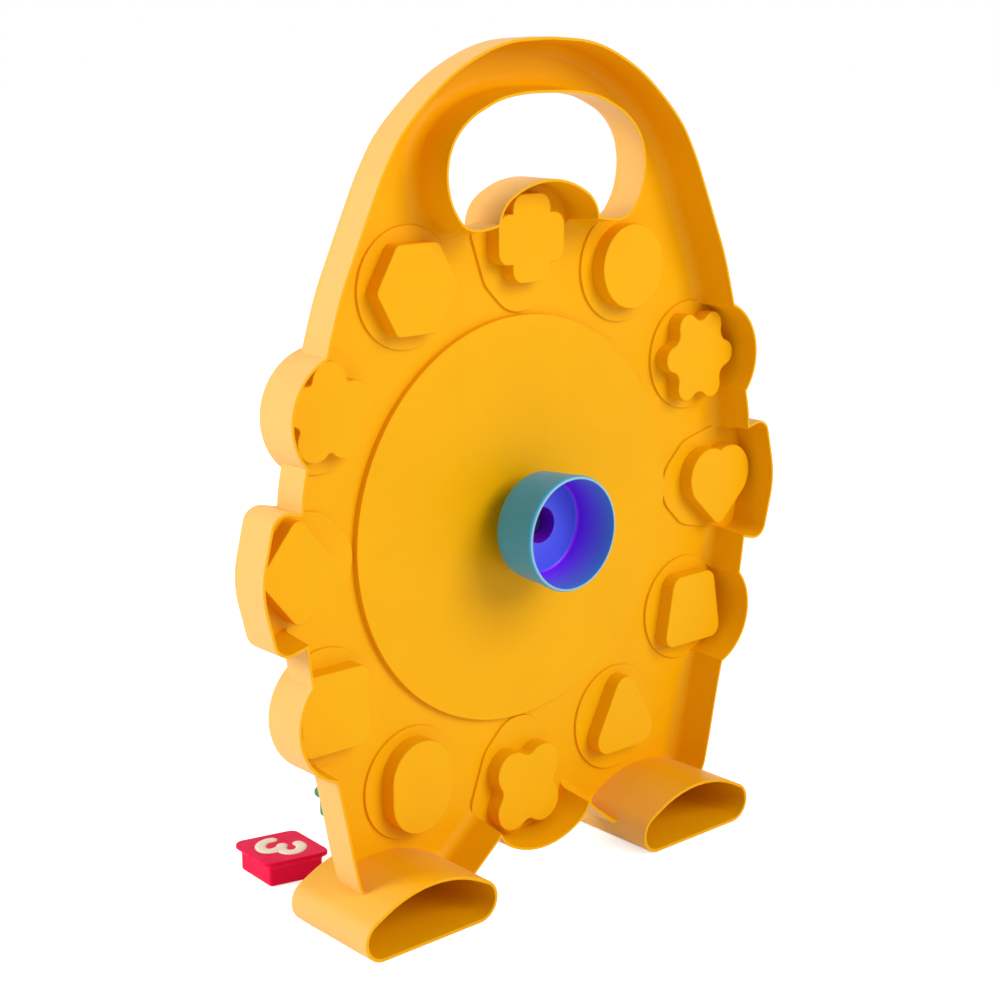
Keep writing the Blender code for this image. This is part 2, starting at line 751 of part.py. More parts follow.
def make_housing(parts, guides, yellow):
    """One moulding: plate, skirt, lobes, handle, pockets and feet."""
    body, lobes = housing_skin(guides)
    cavity = housing_cavity(guides)
    cuts = housing_cuts(guides)
    past_rim = slab("trim_rim", RIM_Y, RIM_Y + BODY_ROUND + 2 * OVERRUN)
    as_guide(past_rim, guides)
    past_feet = as_guide(slab("trim_feet", FOOT_REAR_Y, FOOT_REAR_Y + 4 * OVERRUN), guides)
    additions = housing_additions(guides, past_feet)
    combine(body, "UNION", lobes)
    combine(body, "DIFFERENCE", past_rim)
    combine(body, "DIFFERENCE", cavity)
    combine(body, "UNION", additions)
    combine(body, "DIFFERENCE", cuts)
    mesh = frozen(body)
    mesh.transform(body.matrix_world)
    mesh.name = "housing"
    bpy.data.objects.remove(body, do_unlink=True)
    finish(bpy.data.objects.new("housing", mesh), yellow, parts)


# Blocks

def block_sections(outline):
    """Sections of a block: plug, cove under the flange, flange."""
    top = PLUG_H + COVE_H + FLANGE_T
    return [
        (0, outline(-PLUG_CHAMFER)),
        (PLUG_CHAMFER, outline(0)),
        (PLUG_H, outline(0)),
        (PLUG_H + COVE_H * COVE_KNEE_HEIGHT_SHARE,
         outline(COVE_SPREAD * COVE_KNEE_SPREAD_SHARE)),
        (PLUG_H + COVE_H, outline(COVE_SPREAD)),
        (top - BLOCK_ROUND, outline(COVE_SPREAD)),
        (top, outline(COVE_SPREAD - BLOCK_ROUND)),
    ]


def make_blocks(parts, finishes):
    """Twelve blocks: ten in their wells, two on the floor in front of the clock."""
    turn = LOOSE_GREEN_TURN
    flange = flower_outline(COVE_SPREAD)
    reach = max(-x * math.sin(turn) - z * math.cos(turn) for x, z in flange)
    loose = {
        3: (LOOSE_RED_X, FRONT_Y - LOOSE_RED_AHEAD, LOOSE_RED_TURN),
        2: (LOOSE_GREEN_X, reach - FOOTPRINT_DEPTH / 2, turn),
    }
    for hour, outline in PLUG_OUTLINES.items():
        block = loft(f"block_{hour}", block_sections(outline))
        if hour in loose:
            x, y, turn = loose[hour]
            block.location = (x, y, 0)
            block.rotation_euler = (0, 0, turn)
        else:
            x, z = well_centre(hour)
            block.location = (x, POCKET_FLOOR_Y - REST_GAP, CLOCK_HEIGHT + z)
            block.rotation_euler = (math.pi / 2, 0, 0)
        finish(block, finishes[hour % len(finishes)], parts)


# Dial, hands and knob

def make_dial(parts, cream):
    """Thin dial plate in the recess of the front."""
    rim = arc(0, 0, DIAL_BOSS_R - WALL - DIAL_FIT, 0, 2 * math.pi, ARC_STEP / 2)[:-1]
    bore = arc(0, 0, SPINDLE_R + BUSH_WALL + 2 * RUN_FIT, 0, 2 * math.pi)[:-1]
    finish(prism("dial_plate", [rim, bore], DIAL_FACE_Y, DIAL_BACK_Y), cream, parts)


def stack_places():
    """Places along Y of the pieces on the spindle, from the dial forward."""
    places = {"flange_rear": DIAL_FACE_Y - REST_GAP}
    places["flange_front"] = places["flange_rear"] - BUSH_FLANGE_T
    places["hour_rear"] = places["flange_front"] - RUN_FIT
    places["hour_front"] = places["hour_rear"] - HOUR_HAND_T
    places["bush_front"] = places["hour_front"] - RUN_FIT
    places["washer_rear"] = places["bush_front"] - RUN_FIT
    places["washer_front"] = places["washer_rear"] - HAND_WASHER_T
    places["minute_rear"] = places["washer_front"] - RUN_FIT
    places["minute_front"] = places["minute_rear"] - MINUTE_HAND_T
    places["spindle_front"] = places["minute_front"] - SPINDLE_NOSE
    places["cap_rear"] = places["minute_front"] - REST_GAP
    places["cap_front"] = places["cap_rear"] - CAP_H
    places["friction_front"] = DIAL_REAR_Y + REST_GAP
    places["friction_rear"] = places["friction_front"] + FRICTION_WASHER_T
    places["sleeve_front"] = places["friction_rear"] + REST_GAP
    places["web_rear"] = places["sleeve_front"] + KNOB_WEB_T
    places["knob_base"] = DIAL_REAR_Y + KNOB_STANDOFF
    places["knob_rim"] = places["knob_base"] + KNOB_LENGTH
    places["spindle_rear"] = places["web_rear"] - REST_GAP
    return places


def make_bush(parts, white, at):
    """Flanged bush through dial and housing, a bearing for the spindle and the hour hand."""
    outer = SPINDLE_R + BUSH_WALL
    inner = SPINDLE_R + RUN_FIT
    profile = [
        (inner, DIAL_REAR_Y), (outer, DIAL_REAR_Y), (outer, at["flange_rear"]),
        (BUSH_FLANGE_R, at["flange_rear"]), (BUSH_FLANGE_R, at["flange_front"]),
        (outer, at["flange_front"]), (outer, at["bush_front"]), (inner, at["bush_front"]),
    ]
    finish(turned("spindle_bush", profile, True), white, parts)


def washer(name, inner, outer, front, rear):
    """Flat washer on the spindle."""
    return turned(name, [(inner, rear), (outer, rear), (outer, front), (inner, front)], True)


def make_hands(parts, finishes, at):
    """Hour hand on the bush, minute hand on the spindle, washer between, cap in front."""
    hole = arc(0, 0, SPINDLE_R + BUSH_WALL + RUN_FIT, 0, 2 * math.pi)[:-1]
    outline = hand_outline(HOUR_HAND_LENGTH, HOUR_HUB_R, HOUR_STEM_HALF, HOUR_HEAD_HALF,
                           HOUR_HEAD_LENGTH)
    hour = prism("hour_hand", [outline, hole], at["hour_front"], at["hour_rear"])
    hole = arc(0, 0, SPINDLE_R + REST_GAP, 0, 2 * math.pi)[:-1]
    outline = hand_outline(MINUTE_HAND_LENGTH, MINUTE_HUB_R, MINUTE_STEM_HALF, MINUTE_HEAD_HALF,
                           MINUTE_HEAD_LENGTH)
    minute = prism("minute_hand", [outline, hole], at["minute_front"], at["minute_rear"])
    for hand, angle in ((hour, HOUR_ANGLE), (minute, MINUTE_ANGLE)):
        hand.data.transform(Matrix.Rotation(-angle, 4, "Z"))
    finish(hour, finishes["hour"], parts)
    finish(minute, finishes["minute"], parts)
    ring = washer("hand_washer", SPINDLE_R + REST_GAP, HAND_WASHER_R,
                  at["washer_front"], at["washer_rear"])
    finish(ring, finishes["washer"], parts)
    nose = SPINDLE_R + REST_GAP
    floor = at["spindle_front"] - REST_GAP
    profile = [(0, floor), (nose, floor), (nose, at["cap_rear"]), (CAP_R, at["cap_rear"]),
               (CAP_R, at["cap_rear"] - CAP_LIP)]
    for share in CAP_DOME_SHARES:
        drop = CAP_H - CAP_LIP
        fall = math.sqrt(1 - share ** 2)
        profile.append((CAP_R * fall, at["cap_rear"] - CAP_LIP - drop * share))
    profile.append((0, at["cap_front"]))
    finish(turned("centre_cap", profile, False), finishes["cap"], parts)


def make_spindle(parts, finishes, at):
    """Spindle with a blind screw bore, knob, its screw and the friction washer."""
    bore_r = SCREW_SHANK_R + REST_GAP
    bore_end = at["spindle_rear"] - SCREW_LENGTH
    profile = [(0, bore_end), (bore_r, bore_end), (bore_r, at["spindle_rear"]),
               (SPINDLE_R, at["spindle_rear"]), (SPINDLE_R, at["spindle_front"]),
               (0, at["spindle_front"])]
    finish(turned("spindle", profile, False), finishes["metal"], parts)
    head = at["web_rear"] + REST_GAP
    recess = head + SCREW_HEAD_H - SCREW_RECESS_DEPTH
    profile = [
        (0, recess), (SCREW_RECESS_R, recess), (SCREW_RECESS_R, head + SCREW_HEAD_H),
        (SCREW_HEAD_R * SCREW_CROWN_SHARE, head + SCREW_HEAD_H),
        (SCREW_HEAD_R, head + SCREW_HEAD_H * SCREW_SHOULDER_SHARE),
        (SCREW_HEAD_R, head), (SCREW_SHANK_R, head),
        (SCREW_SHANK_R, bore_end + REST_GAP), (0, bore_end + REST_GAP),
    ]
    finish(turned("knob_screw", profile, False), finishes["metal"], parts)
    ring = washer("friction_washer", SPINDLE_R + REST_GAP, FRICTION_WASHER_R,
                  at["friction_front"], at["friction_rear"])
    finish(ring, finishes["washer"], parts)


def make_knob(parts, blue, at):
    """Cup-shaped knob with a flared wall, a floor and a sleeve that reaches the housing."""
    base = at["knob_base"]
    rim = at["knob_rim"]
    floor = base + KNOB_FLOOR_T
    hole = SPINDLE_R + REST_GAP
    profile = [
        (KNOB_RIM_R - KNOB_WALL + KNOB_EDGE, rim), (KNOB_RIM_R - KNOB_EDGE, rim),
        (KNOB_RIM_R, rim - KNOB_EDGE), (KNOB_BASE_R, base + KNOB_EDGE),
        (KNOB_BASE_R - KNOB_EDGE, base), (KNOB_SLEEVE_R, base),
        (KNOB_SLEEVE_R, at["sleeve_front"]), (hole, at["sleeve_front"]), (hole, at["web_rear"]),
        (KNOB_WELL_R, at["web_rear"]), (KNOB_WELL_R, floor),
        (KNOB_BASE_R - KNOB_WALL, floor), (KNOB_RIM_R - KNOB_WALL, rim - KNOB_EDGE),
    ]
    finish(turned("turning_knob", profile, True, KNOB_STEPS), blue, parts)


# Colours, as linear red, green and blue
YELLOW = (0.96, 0.445, 0.0)
RED = (0.87, 0.0, 0.065)
GREEN = (0.02, 0.27, 0.09)
BLUE = (0.02, 0.12, 0.62)
CREAM = (1.0, 0.83, 0.62)
KNOB_BLUE = (0.03, 0.16, 0.72)
STEEL = (0.55, 0.55, 0.57)


def main():
    """Build the whole clock."""
    clear_scene()
    parts = new_collection("toy_clock")
    guides = new_collection("cutters")
    yellow = material("yellow_moulding", YELLOW, 0.35)
    red = material("red_block", RED, 0.35)
    green = material("green_block", GREEN, 0.35)
    blue = material("blue_block", BLUE, 0.35)
    cream = material("cream_dial", CREAM, 0.4)
    knob_blue = material("blue_knob", KNOB_BLUE, 0.2)
    steel = material("steel", STEEL, 0.35, 1.0)
    at = stack_places()
    make_housing(parts, guides, yellow)
    make_blocks(parts, {0: red, 1: blue, 2: green})
    make_dial(parts, cream)
    make_bush(parts, cream, at)
    hand_finishes = {"hour": red, "minute": blue, "washer": cream, "cap": yellow}
    make_hands(parts, hand_finishes, at)
    make_spindle(parts, {"metal": steel, "washer": cream}, at)
    make_knob(parts, knob_blue, at)


main()
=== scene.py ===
"""Dressed model of a shape-sorting toy clock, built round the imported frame, in metres.

The dial faces -Y, the open back and the knob face +Y, and the feet stand on z = 0.
"""

from __future__ import annotations
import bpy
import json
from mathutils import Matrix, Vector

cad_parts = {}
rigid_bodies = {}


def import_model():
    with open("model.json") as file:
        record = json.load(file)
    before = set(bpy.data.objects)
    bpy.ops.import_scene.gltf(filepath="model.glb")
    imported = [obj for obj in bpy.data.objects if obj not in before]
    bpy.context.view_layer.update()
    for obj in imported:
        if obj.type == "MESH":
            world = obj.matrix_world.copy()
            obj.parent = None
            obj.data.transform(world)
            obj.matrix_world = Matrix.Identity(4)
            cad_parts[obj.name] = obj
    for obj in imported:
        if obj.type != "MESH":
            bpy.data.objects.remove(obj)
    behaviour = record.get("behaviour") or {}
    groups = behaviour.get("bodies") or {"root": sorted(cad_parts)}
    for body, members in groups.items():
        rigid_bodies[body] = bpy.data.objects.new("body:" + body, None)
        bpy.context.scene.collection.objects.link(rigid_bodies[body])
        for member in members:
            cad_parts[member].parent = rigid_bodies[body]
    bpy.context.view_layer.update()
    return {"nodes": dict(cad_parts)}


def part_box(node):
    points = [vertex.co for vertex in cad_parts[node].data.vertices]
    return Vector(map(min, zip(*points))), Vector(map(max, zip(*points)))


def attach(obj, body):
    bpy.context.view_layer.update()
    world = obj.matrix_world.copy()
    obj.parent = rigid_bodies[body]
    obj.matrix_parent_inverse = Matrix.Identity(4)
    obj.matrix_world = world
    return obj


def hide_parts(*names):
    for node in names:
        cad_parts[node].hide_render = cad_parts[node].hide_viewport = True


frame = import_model()

import json
import logging
import math
from collections.abc import Callable, Iterable, Sequence
from dataclasses import dataclass
from enum import Enum

import bmesh
import bpy
from bpy.types import GeometryNodeTree, Material, Node, NodeSocket, NodeTree, Object
from mathutils import Matrix, Vector

LOG = logging.getLogger("toy_clock")

MM = 0.001
WELD = 0.002 * MM
# Face mask of the walls that get a painted sheen
SHEEN_MASK = "outer_skin"
CUP = "cup"
HALF_TURN = math.pi
FULL_TURN = 2 * math.pi
RIGHT_ANGLE = math.pi / 2
HARD_EDGE = math.radians(34)
FACE_WEIGHT = 60
# Share of a radius that is cut away at the middle of its round
MID_ROUND = 0.3
# Name of the collections that hold the solids of Boolean steps
OPERANDS = "operands"

Point = tuple[float, float]
Outline = list[Point]
Grown = Callable[[float], Outline]
Profile = Sequence[Point]
Disc = tuple[float, float, float]
Place = tuple[float, float, float]


# Places that all sub-assemblies share


@dataclass(frozen=True)
class Places:
    """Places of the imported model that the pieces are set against, along Y where not said."""

    centre_height: float = 136 * MM
    well_circle: float = 104 * MM
    foot_depth: float = 44.9 * MM
    foot_reach: float = 10.6 * MM
    plate_thickness: float = 2 * MM
    skirt_depth: float = 19.2 * MM
    dish_depth: float = 1.1 * MM
    pocket_depth: float = 6.45 * MM
    dial_recess: float = 2.5 * MM
    gap: float = 0.3 * MM
    foot_rear: float = float(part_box("housing")[1][1])
    foot_front: float = foot_rear - foot_depth
    front: float = foot_front + foot_reach
    plate_rear: float = front + plate_thickness
    rim: float = front + skirt_depth
    dish_floor: float = front + dish_depth
    pocket_floor: float = dish_floor + pocket_depth
    dial_floor: float = front + dial_recess
    dial_rear: float = dial_floor + plate_thickness

    def well(self, hour: int) -> Point:
        """A well's x and its height above the dial's centre."""
        angle = hour * math.pi / 6
        return self.well_circle * math.sin(angle), self.well_circle * math.cos(angle)


PLACES = Places()


# Outlines in the plane of the dial


def arc(centre: Point, radius: float, start: float, end: float, step: float) -> Outline:
    """Points of an arc, counter-clockwise, both ends included.

    Args:
        centre: Centre of the arc.
        radius: Radius of the arc.
        start: First angle.
        end: Last angle.
        step: Largest angle between two points.

    Returns:
        The points of the arc.
    """
    count = max(1, math.ceil((end - start) / step - 0.001))
    angles = [start + (end - start) * i / count for i in range(count + 1)]
    return [(centre[0] + radius * math.cos(a), centre[1] + radius * math.sin(a)) for a in angles]


def circle(radius: float, step: float) -> Grown:
    """Full circle about the dial's centre, as a function of the growth."""
    return lambda grow: arc((0.0, 0.0), radius + grow, 0.0, FULL_TURN, step)[:-1]


def hull(circles: Sequence[Disc], grow: float, step: float) -> Outline:
    """Outline round circles, each grown by the same amount.

    Args:
        circles: x, z and radius of each circle, counter-clockwise.
        grow: Amount that is added to each radius.
        step: Largest angle between two points of an arc.

    Returns:
        The points of the outline.
    """
    turns = []
    for i, (x1, z1, r1) in enumerate(circles):
        x2, z2, r2 = circles[(i + 1) % len(circles)]
        run = math.hypot(x2 - x1, z2 - z1)
        turns.append(math.atan2(z2 - z1, x2 - x1) - math.acos((r1 - r2) / run))
    points: Outline = []
    for i, (x, z, radius) in enumerate(circles):
        sweep = (turns[i] - turns[i - 1]) % FULL_TURN
        points += arc((x, z), radius + grow, turns[i - 1], turns[i - 1] + sweep, step)
    return points


def ring_of(count: int, out: float, radius: float, first: float = 0.0) -> list[Disc]:
    """Circles of one radius spaced evenly round the centre, from a first angle on."""
    angles = [first + FULL_TURN * i / count for i in range(count)]
    return [(out * math.cos(a), out * math.sin(a), radius) for a in angles]


def mirrored(half: Sequence[Disc]) -> list[Disc]:
    """Circles on both sides, from those at x >= 0 in their order from the bottom up."""
    return [*half, *((-x, z, radius) for x, z, radius in reversed(half) if x > 0)]


def smooth_through(points: Outline, steps: int) -> Outline:
    """Smooth curve through the given points.

    Args:
        points: Points that the curve passes.
        steps: Pieces between two of them.

    Returns:
        The points of the curve, with both ends.
    """
    ends = [points[0], *points, points[-1]]
    curve: Outline = []
    for p0, p1, p2, p3 in zip(ends, ends[1:], ends[2:], ends[3:]):
        for i in range(steps):
            t = i / steps
            curve.append(tuple(
                (2 * b + (c - a) * t + (2 * a - 5 * b + 4 * c - d) * t ** 2
                 + (3 * b - a - 3 * c + d) * t ** 3) / 2
                for a, b, c, d in zip(p0, p1, p2, p3)))
    return curve + [points[-1]]


def both_sides(half: Outline) -> Outline:
    """Closed counter-clockwise outline from its half at x > 0.

    Args:
        half: The half outline, from top to bottom.

    Returns:
        The points of the whole outline.
    """
    right = [p for p in half if p[0] > WELD]
    middle = [p for p in half if p[0] <= WELD]
    return middle + [(-x, z) for x, z in right] + list(reversed(right))


def offset(points: Outline, distance: float) -> Outline:
    """Counter-clockwise outline moved outward, or inward where the distance is negative.

    Args:
        points: The outline.
        distance: How far it moves.

    Returns:
        The moved outline, with as many points.
    """
    result: Outline = []
    for i, (x, z) in enumerate(points):
        xa, za = points[i - 1]
        xb, zb = points[(i + 1) % len(points)]
        before = math.hypot(x - xa, z - za)
        after = math.hypot(xb - x, zb - z)
        na = ((z - za) / before, (xa - x) / before)
        nb = ((zb - z) / after, (x - xb) / after)
        share = distance / (1 + na[0] * nb[0] + na[1] * nb[1])
        result.append((x + share * (na[0] + nb[0]), z + share * (na[1] + nb[1])))
    return result


def moved(outline: Grown, centre: Point) -> Grown:
    """The same outline about another centre."""
    return lambda grow: [(x + centre[0], z + centre[1]) for x, z in outline(grow)]


def quarter(steps: int) -> list[float]:
    """Angles of a quarter turn in even steps, both ends included."""
    return [RIGHT_ANGLE * i / steps for i in range(steps + 1)]


def edge(start: float, radius: float, towards: int, steps: int = 4) -> Outline:
    """Quarter round between an end face and a side wall.

    Args:
        start: Place of the end face along Y.
        radius: Radius of the round.
        towards: +1 where the wall runs on to the rear, -1 where it runs to the front.
        steps: Pieces of the round.

    Returns:
        Pairs of a place along Y and a growth, from the end face to the wall.
    """
    return [(start + towards * radius * (1 - math.cos(a)), radius * (math.sin(a) - 1))
            for a in quarter(steps)]


def flare(end: float, radius: float, overrun: float, steps: int = 2) -> Outline:
    """Mouth of a cutter that rounds the edge it leaves behind, and runs on past it.

    Args:
        end: Place of the edge along Y.
        radius: Radius that is left on the edge.
        overrun: How far the cutter runs on, negative towards the front.
        steps: Pieces of the round.

    Returns:
        Pairs of a place along Y and a growth, from the wall to the mouth.
    """
    sign = math.copysign(1.0, overrun)
    turn = [(end - sign * radius * (1 - math.sin(a)), radius * (1 - math.cos(a)))
            for a in quarter(steps)]
    return turn + [(end + overrun, radius)]


def bend(corner: Point, across: float, along: float, steps: int) -> Outline:
    """Rounded corner of a turned section, from its wall to its end face.

    Args:
        corner: Radius and place along Y of the sharp corner.
        across: Reach of the round across the axis.
        along: Reach of the round along Y, negative where the wall runs to the rear.
        steps: Pieces of the round.

    Returns:
        Radius and place along Y of each point.
    """
    return [(corner[0] - across * (1 - math.cos(a)), corner[1] - along * (1 - math.sin(a)))
            for a in quarter(steps)]


# Outlines of the plugs


class Plug(Enum):
    """Outline that a block has, by the number on it."""

    HEXAGON = 1
    FLOWER = 2
    DIAMOND = 3
    SQUARE = 4
    OVAL = 5
    CLOVER = 6
    TRIANGLE = 7
    TRAPEZOID = 8
    HEART = 9
    STAR = 10
    ROUND = 11
    CROSS = 12


@dataclass(frozen=True)
class Rosette:
    """Lobes that run into one another through hollow notches."""

    count: int
    tip: float
    notch: float
    lobe: float
    first: float

    def outline(self, grow: float, step: float) -> Outline:
        """Outline of the rosette.

        Args:
            grow: Amount of growth.
            step: Largest angle between two points.

        Returns:
            The points, counter-clockwise.
        """
        half = math.pi / self.count
        out = self.tip - self.lobe
        beside = out * math.cos(half)
        hollow = ((out ** 2 + self.notch ** 2 - 2 * self.notch * beside - self.lobe ** 2)
                  / (2 * (beside + self.lobe - self.notch)))
        hollow_out = self.notch + hollow
        lean = math.atan2(hollow_out * math.sin(half), hollow_out * math.cos(half) - out)
        turn = lean - half
        points: Outline = []
        for i in range(self.count):
            angle = self.first + 2 * half * i
            centre = (out * math.cos(angle), out * math.sin(angle))
            points += arc(centre, self.lobe + grow, angle - lean, angle + lean, step)
            angle += half
            centre = (hollow_out * math.cos(angle), hollow_out * math.sin(angle))
            back = angle + HALF_TURN
            dip = arc(centre, hollow - grow, back - turn, back + turn, min(step, turn))
            points += dip[-2:0:-1]
        return points


@dataclass(frozen=True)
class PlugSizes:
    """Sizes of the twelve plug outlines."""

    step: float = math.radians(9)
    corner_step: float = math.radians(15)
    disc: float = 13.7 * MM
    hexagon: Point = (14.7 * MM, 0.8 * MM)
    square: Point = (math.sqrt(2) * 10.2 * MM, 2.2 * MM)
    diamond: Disc = (11.9 * MM, 14.4 * MM, 1.4 * MM)
    oval: Point = (4 * MM, 11.5 * MM)
    trapezoid: tuple[Disc, ...] = ((10.9 * MM, -8.9 * MM, 2.6 * MM), (7.2 * MM, 10.1 * MM, 3 * MM))
    triangle: tuple[Disc, ...] = ((9.1 * MM, -5.8 * MM, 4 * MM), (0.0, 12.2 * MM, 4 * MM))
    heart_lobe: Disc = (5.5 * MM, 2 * MM, 9.6 * MM)
    heart_tip: Point = (14.2 * MM, 1.6 * MM)
    cross: Disc = (13.6 * MM, 6.8 * MM, 2.7 * MM)
    flower: Rosette = Rosette(5, 15.65 * MM, 10.9 * MM, 5 * MM, RIGHT_ANGLE)
    clover: Rosette = Rosette(4, 16.5 * MM, 10.9 * MM, 6 * MM, math.pi / 4)
    star: Rosette = Rosette(6, 16.7 * MM, 12 * MM, 3 * MM, 0.0)

    def heart(self, grow: float) -> Outline:
        """Upright heart with a shallow notch and a rounded tip.

        Args:
            grow: Amount of growth.

        Returns:
            The points, counter-clockwise.
        """
        x, z, lobe = self.heart_lobe
        low, tip = self.heart_tip
        rise = math.atan2(z + low, x)
        side = rise - math.acos((tip - lobe) / math.hypot(x, z + low))
        notch = math.acos(-x / (lobe + grow))
        right = arc((x, z), lobe + grow, side, notch, (notch - side) / 24)
        left = [(-px, pz) for px, pz in reversed(right)][1:]
        foot = arc((0.0, -low), tip + grow, HALF_TURN - side, FULL_TURN + side, self.corner_step)
        return right + left + foot

    def crossed(self, grow: float) -> Outline:
        """Upright cross with rounded arms.

        Args:
            grow: Amount of growth.

        Returns:
            The points, counter-clockwise.
        """
        length, width, radius = self.cross
        inner, out, notch = width - radius, length - radius, width + grow
        arm = [(notch, notch)]
        arm += arc((inner, out), radius + grow, 0.0, RIGHT_ANGLE, self.corner_step)
        arm += arc((-inner, out), radius + grow, RIGHT_ANGLE, HALF_TURN, self.corner_step)
        points: Outline = []
        for _ in range(4):
            points += arm
            arm = [(-z, x) for x, z in arm]
        return points

    def outline(self, plug: Plug) -> Grown:
        """Function that gives a plug's outline for an amount of growth.

        Args:
            plug: Which plug.

        Returns:
            The function.
        """
        direct = {Plug.ROUND: circle(self.disc, self.step), Plug.HEART: self.heart,
                  Plug.CROSS: self.crossed}
        rosettes = {Plug.FLOWER: self.flower, Plug.CLOVER: self.clover, Plug.STAR: self.star}
        if plug in direct:
            return direct[plug]
        if plug in rosettes:
            return lambda grow: rosettes[plug].outline(grow, self.corner_step)
        wide, tall, soft = self.diamond
        high, bow = self.oval
        corners = {
            Plug.HEXAGON: ring_of(6, *self.hexagon),
            Plug.SQUARE: ring_of(4, *self.square, math.pi / 4),
            Plug.DIAMOND: [(wide, 0, soft), (0, tall, soft), (-wide, 0, soft), (0, -tall, soft)],
            Plug.OVAL: [(0, high, bow), (0, -high, bow)],
            Plug.TRIANGLE: mirrored(self.triangle),
            Plug.TRAPEZOID: mirrored(self.trapezoid)}[plug]
        step = self.step if plug is Plug.OVAL else self.corner_step
        return lambda grow: hull(corners, grow, step)


PLUGS = PlugSizes()


# Meshes


def add_object(name: str, data: bpy.types.ID) -> Object:
    """New object in the scene's collection.

    Args:
        name: Name of the object.
        data: Its mesh, curve, light or camera.

    Returns:
        The object.
    """
    item = bpy.data.objects.new(name, data)
    bpy.context.scene.collection.objects.link(item)
    return item


def object_of(name: str, work: bmesh.types.BMesh) -> Object:
    """Object from a mesh in the making, welded and with its faces outwards.

    Args:
        name: Name of the object.
        work: The mesh; it is freed.

    Returns:
        The object.
    """
    bmesh.ops.remove_doubles(work, verts=work.verts, dist=WELD)
    bmesh.ops.dissolve_degenerate(work, edges=work.edges, dist=WELD)
    bmesh.ops.recalc_face_normals(work, faces=work.faces)
    mesh = bpy.data.meshes.new(name)
    work.to_mesh(mesh)
    work.free()
    return add_object(name, mesh)


def solid_over(name: str, rings: Iterable[Iterable[Place]]) -> Object:
    """Closed solid over a stack of rings that have as many points each.

    Args:
        name: Name of the object.
        rings: Points of each ring, from one end face to the other.

    Returns:
        The solid.
    """
    work = bmesh.new()
    stack = [[work.verts.new(point) for point in ring] for ring in rings]
    work.faces.new(stack[0])
    work.faces.new(stack[-1])
    for near, far in zip(stack, stack[1:]):
        for i, vert in enumerate(near):
            work.faces.new((near[i - 1], far[i - 1], far[i], vert))
    return object_of(name, work)


def loft(name: str, outline: Grown, profile: Profile) -> Object:
    """Closed solid over a profile of places along Y and growths, about the dial's centre."""
    return solid_over(name, [[(x, y, z + PLACES.centre_height) for x, z in outline(grow)]
                             for y, grow in profile])


def revolve(name: str, profile: Profile, steps: int = 96) -> Object:
    """Solid turned about the dial's axis.

    Args:
        name: Name of the object.
        profile: Pairs of a radius and a place along Y, as one closed loop.
        steps: Pieces of the turn.

    Returns:
        The solid.
    """
    work = bmesh.new()
    rings = []
    for i in range(steps):
        x, z = math.cos(FULL_TURN * i / steps), math.sin(FULL_TURN * i / steps)
        rings.append([work.verts.new((r * x, y, PLACES.centre_height + r * z))
                      for r, y in profile])
    for i, ring in enumerate(rings):
        other = rings[i - 1]
        for j, vert in enumerate(ring):
            if profile[j][0] > 0 or profile[j - 1][0] > 0:
                work.faces.new((other[j - 1], other[j], vert, ring[j - 1]))
    return object_of(name, work)


def frozen(item: Object, name: str) -> Object:
    """Plain object from an object with modifiers, which is removed with its operands.

    Args:
        item: The object with modifiers.
        name: Name of the new object.

    Returns:
        The new object, welded, unturned and at the origin.
    """
    graph = bpy.context.evaluated_depsgraph_get()
    mesh = bpy.data.meshes.new_from_object(item.evaluated_get(graph))
    mesh.transform(item.matrix_world)
    work = bmesh.new()
    work.from_mesh(mesh)
    bpy.data.meshes.remove(mesh)
    bpy.data.objects.remove(item, do_unlink=True)
    for group in [group for group in bpy.data.collections if group.name.startswith(OPERANDS)]:
        for other in list(group.objects):
            bpy.data.objects.remove(other, do_unlink=True)
        bpy.data.collections.remove(group)
    return object_of(name, work)


class Operation(Enum):
    """What a Boolean step does."""

    JOIN = "UNION"
    CUT = "DIFFERENCE"


def combine(item: Object, operation: Operation, others: Iterable[Object]) -> Object:
    """Add a Boolean step with one or more solids.

    Args:
        item: The solid that is changed.
        operation: Join or cut.
        others: The other solids, which leave the scene and are kept until the shape is frozen.

    Returns:
        The same solid.
    """
    group = bpy.data.collections.new(OPERANDS)
    for other in others:
        bpy.context.scene.collection.objects.unlink(other)
        group.objects.link(other)
    step = item.modifiers.new(operation.name, "BOOLEAN")
    step.operation = operation.value
    step.solver = "EXACT"
    step.operand_type = "COLLECTION"
    step.collection = group
    return item


def mark_skin(item: Object, upright: float = 1.0) -> Object:
    """Mark the walls of a solid that get a painted sheen, with a mask that Boolean steps keep.

    Args:
        item: The solid.
        upright: Share that is left where a wall faces up or down.

    Returns:
        The same solid.
    """
    mask = item.data.attributes.new(SHEEN_MASK, "FLOAT", "FACE")
    for face, value in zip(item.data.polygons, mask.data):
        x, y, z = face.normal
        # Sideways walls get the whole painted sheen, walls that face up or down the upright share
        value.value = (1 - abs(y)) * (abs(x) + upright * (1 - abs(x)))
    return item


def smooth(item: Object) -> Object:
    """Smooth shading that keeps hard edges, with flat faces left flat.

    Args:
        item: The object.

    Returns:
        The same object.
    """
    item.data.shade_smooth()
    item.data.set_sharp_from_angle(angle=HARD_EDGE)
    even = item.modifiers.new("even_shading", "WEIGHTED_NORMAL")
    even.keep_sharp = True
    even.weight = FACE_WEIGHT
    return item


# Finishes


def linear(colour: str) -> tuple[float, float, float, float]:
    """Linear colour from an sRGB hex value such as "#FBB200".

    Args:
        colour: The hex value.

    Returns:
        Red, green, blue and an alpha of 1.
    """
    shares = [int(colour[i:i + 2], 16) / 255 for i in (1, 3, 5)]
    low = [value / 12.92 if value <= 0.04045 else ((value + 0.055) / 1.055) ** 2.4
           for value in shares]
    return (*low, 1.0)


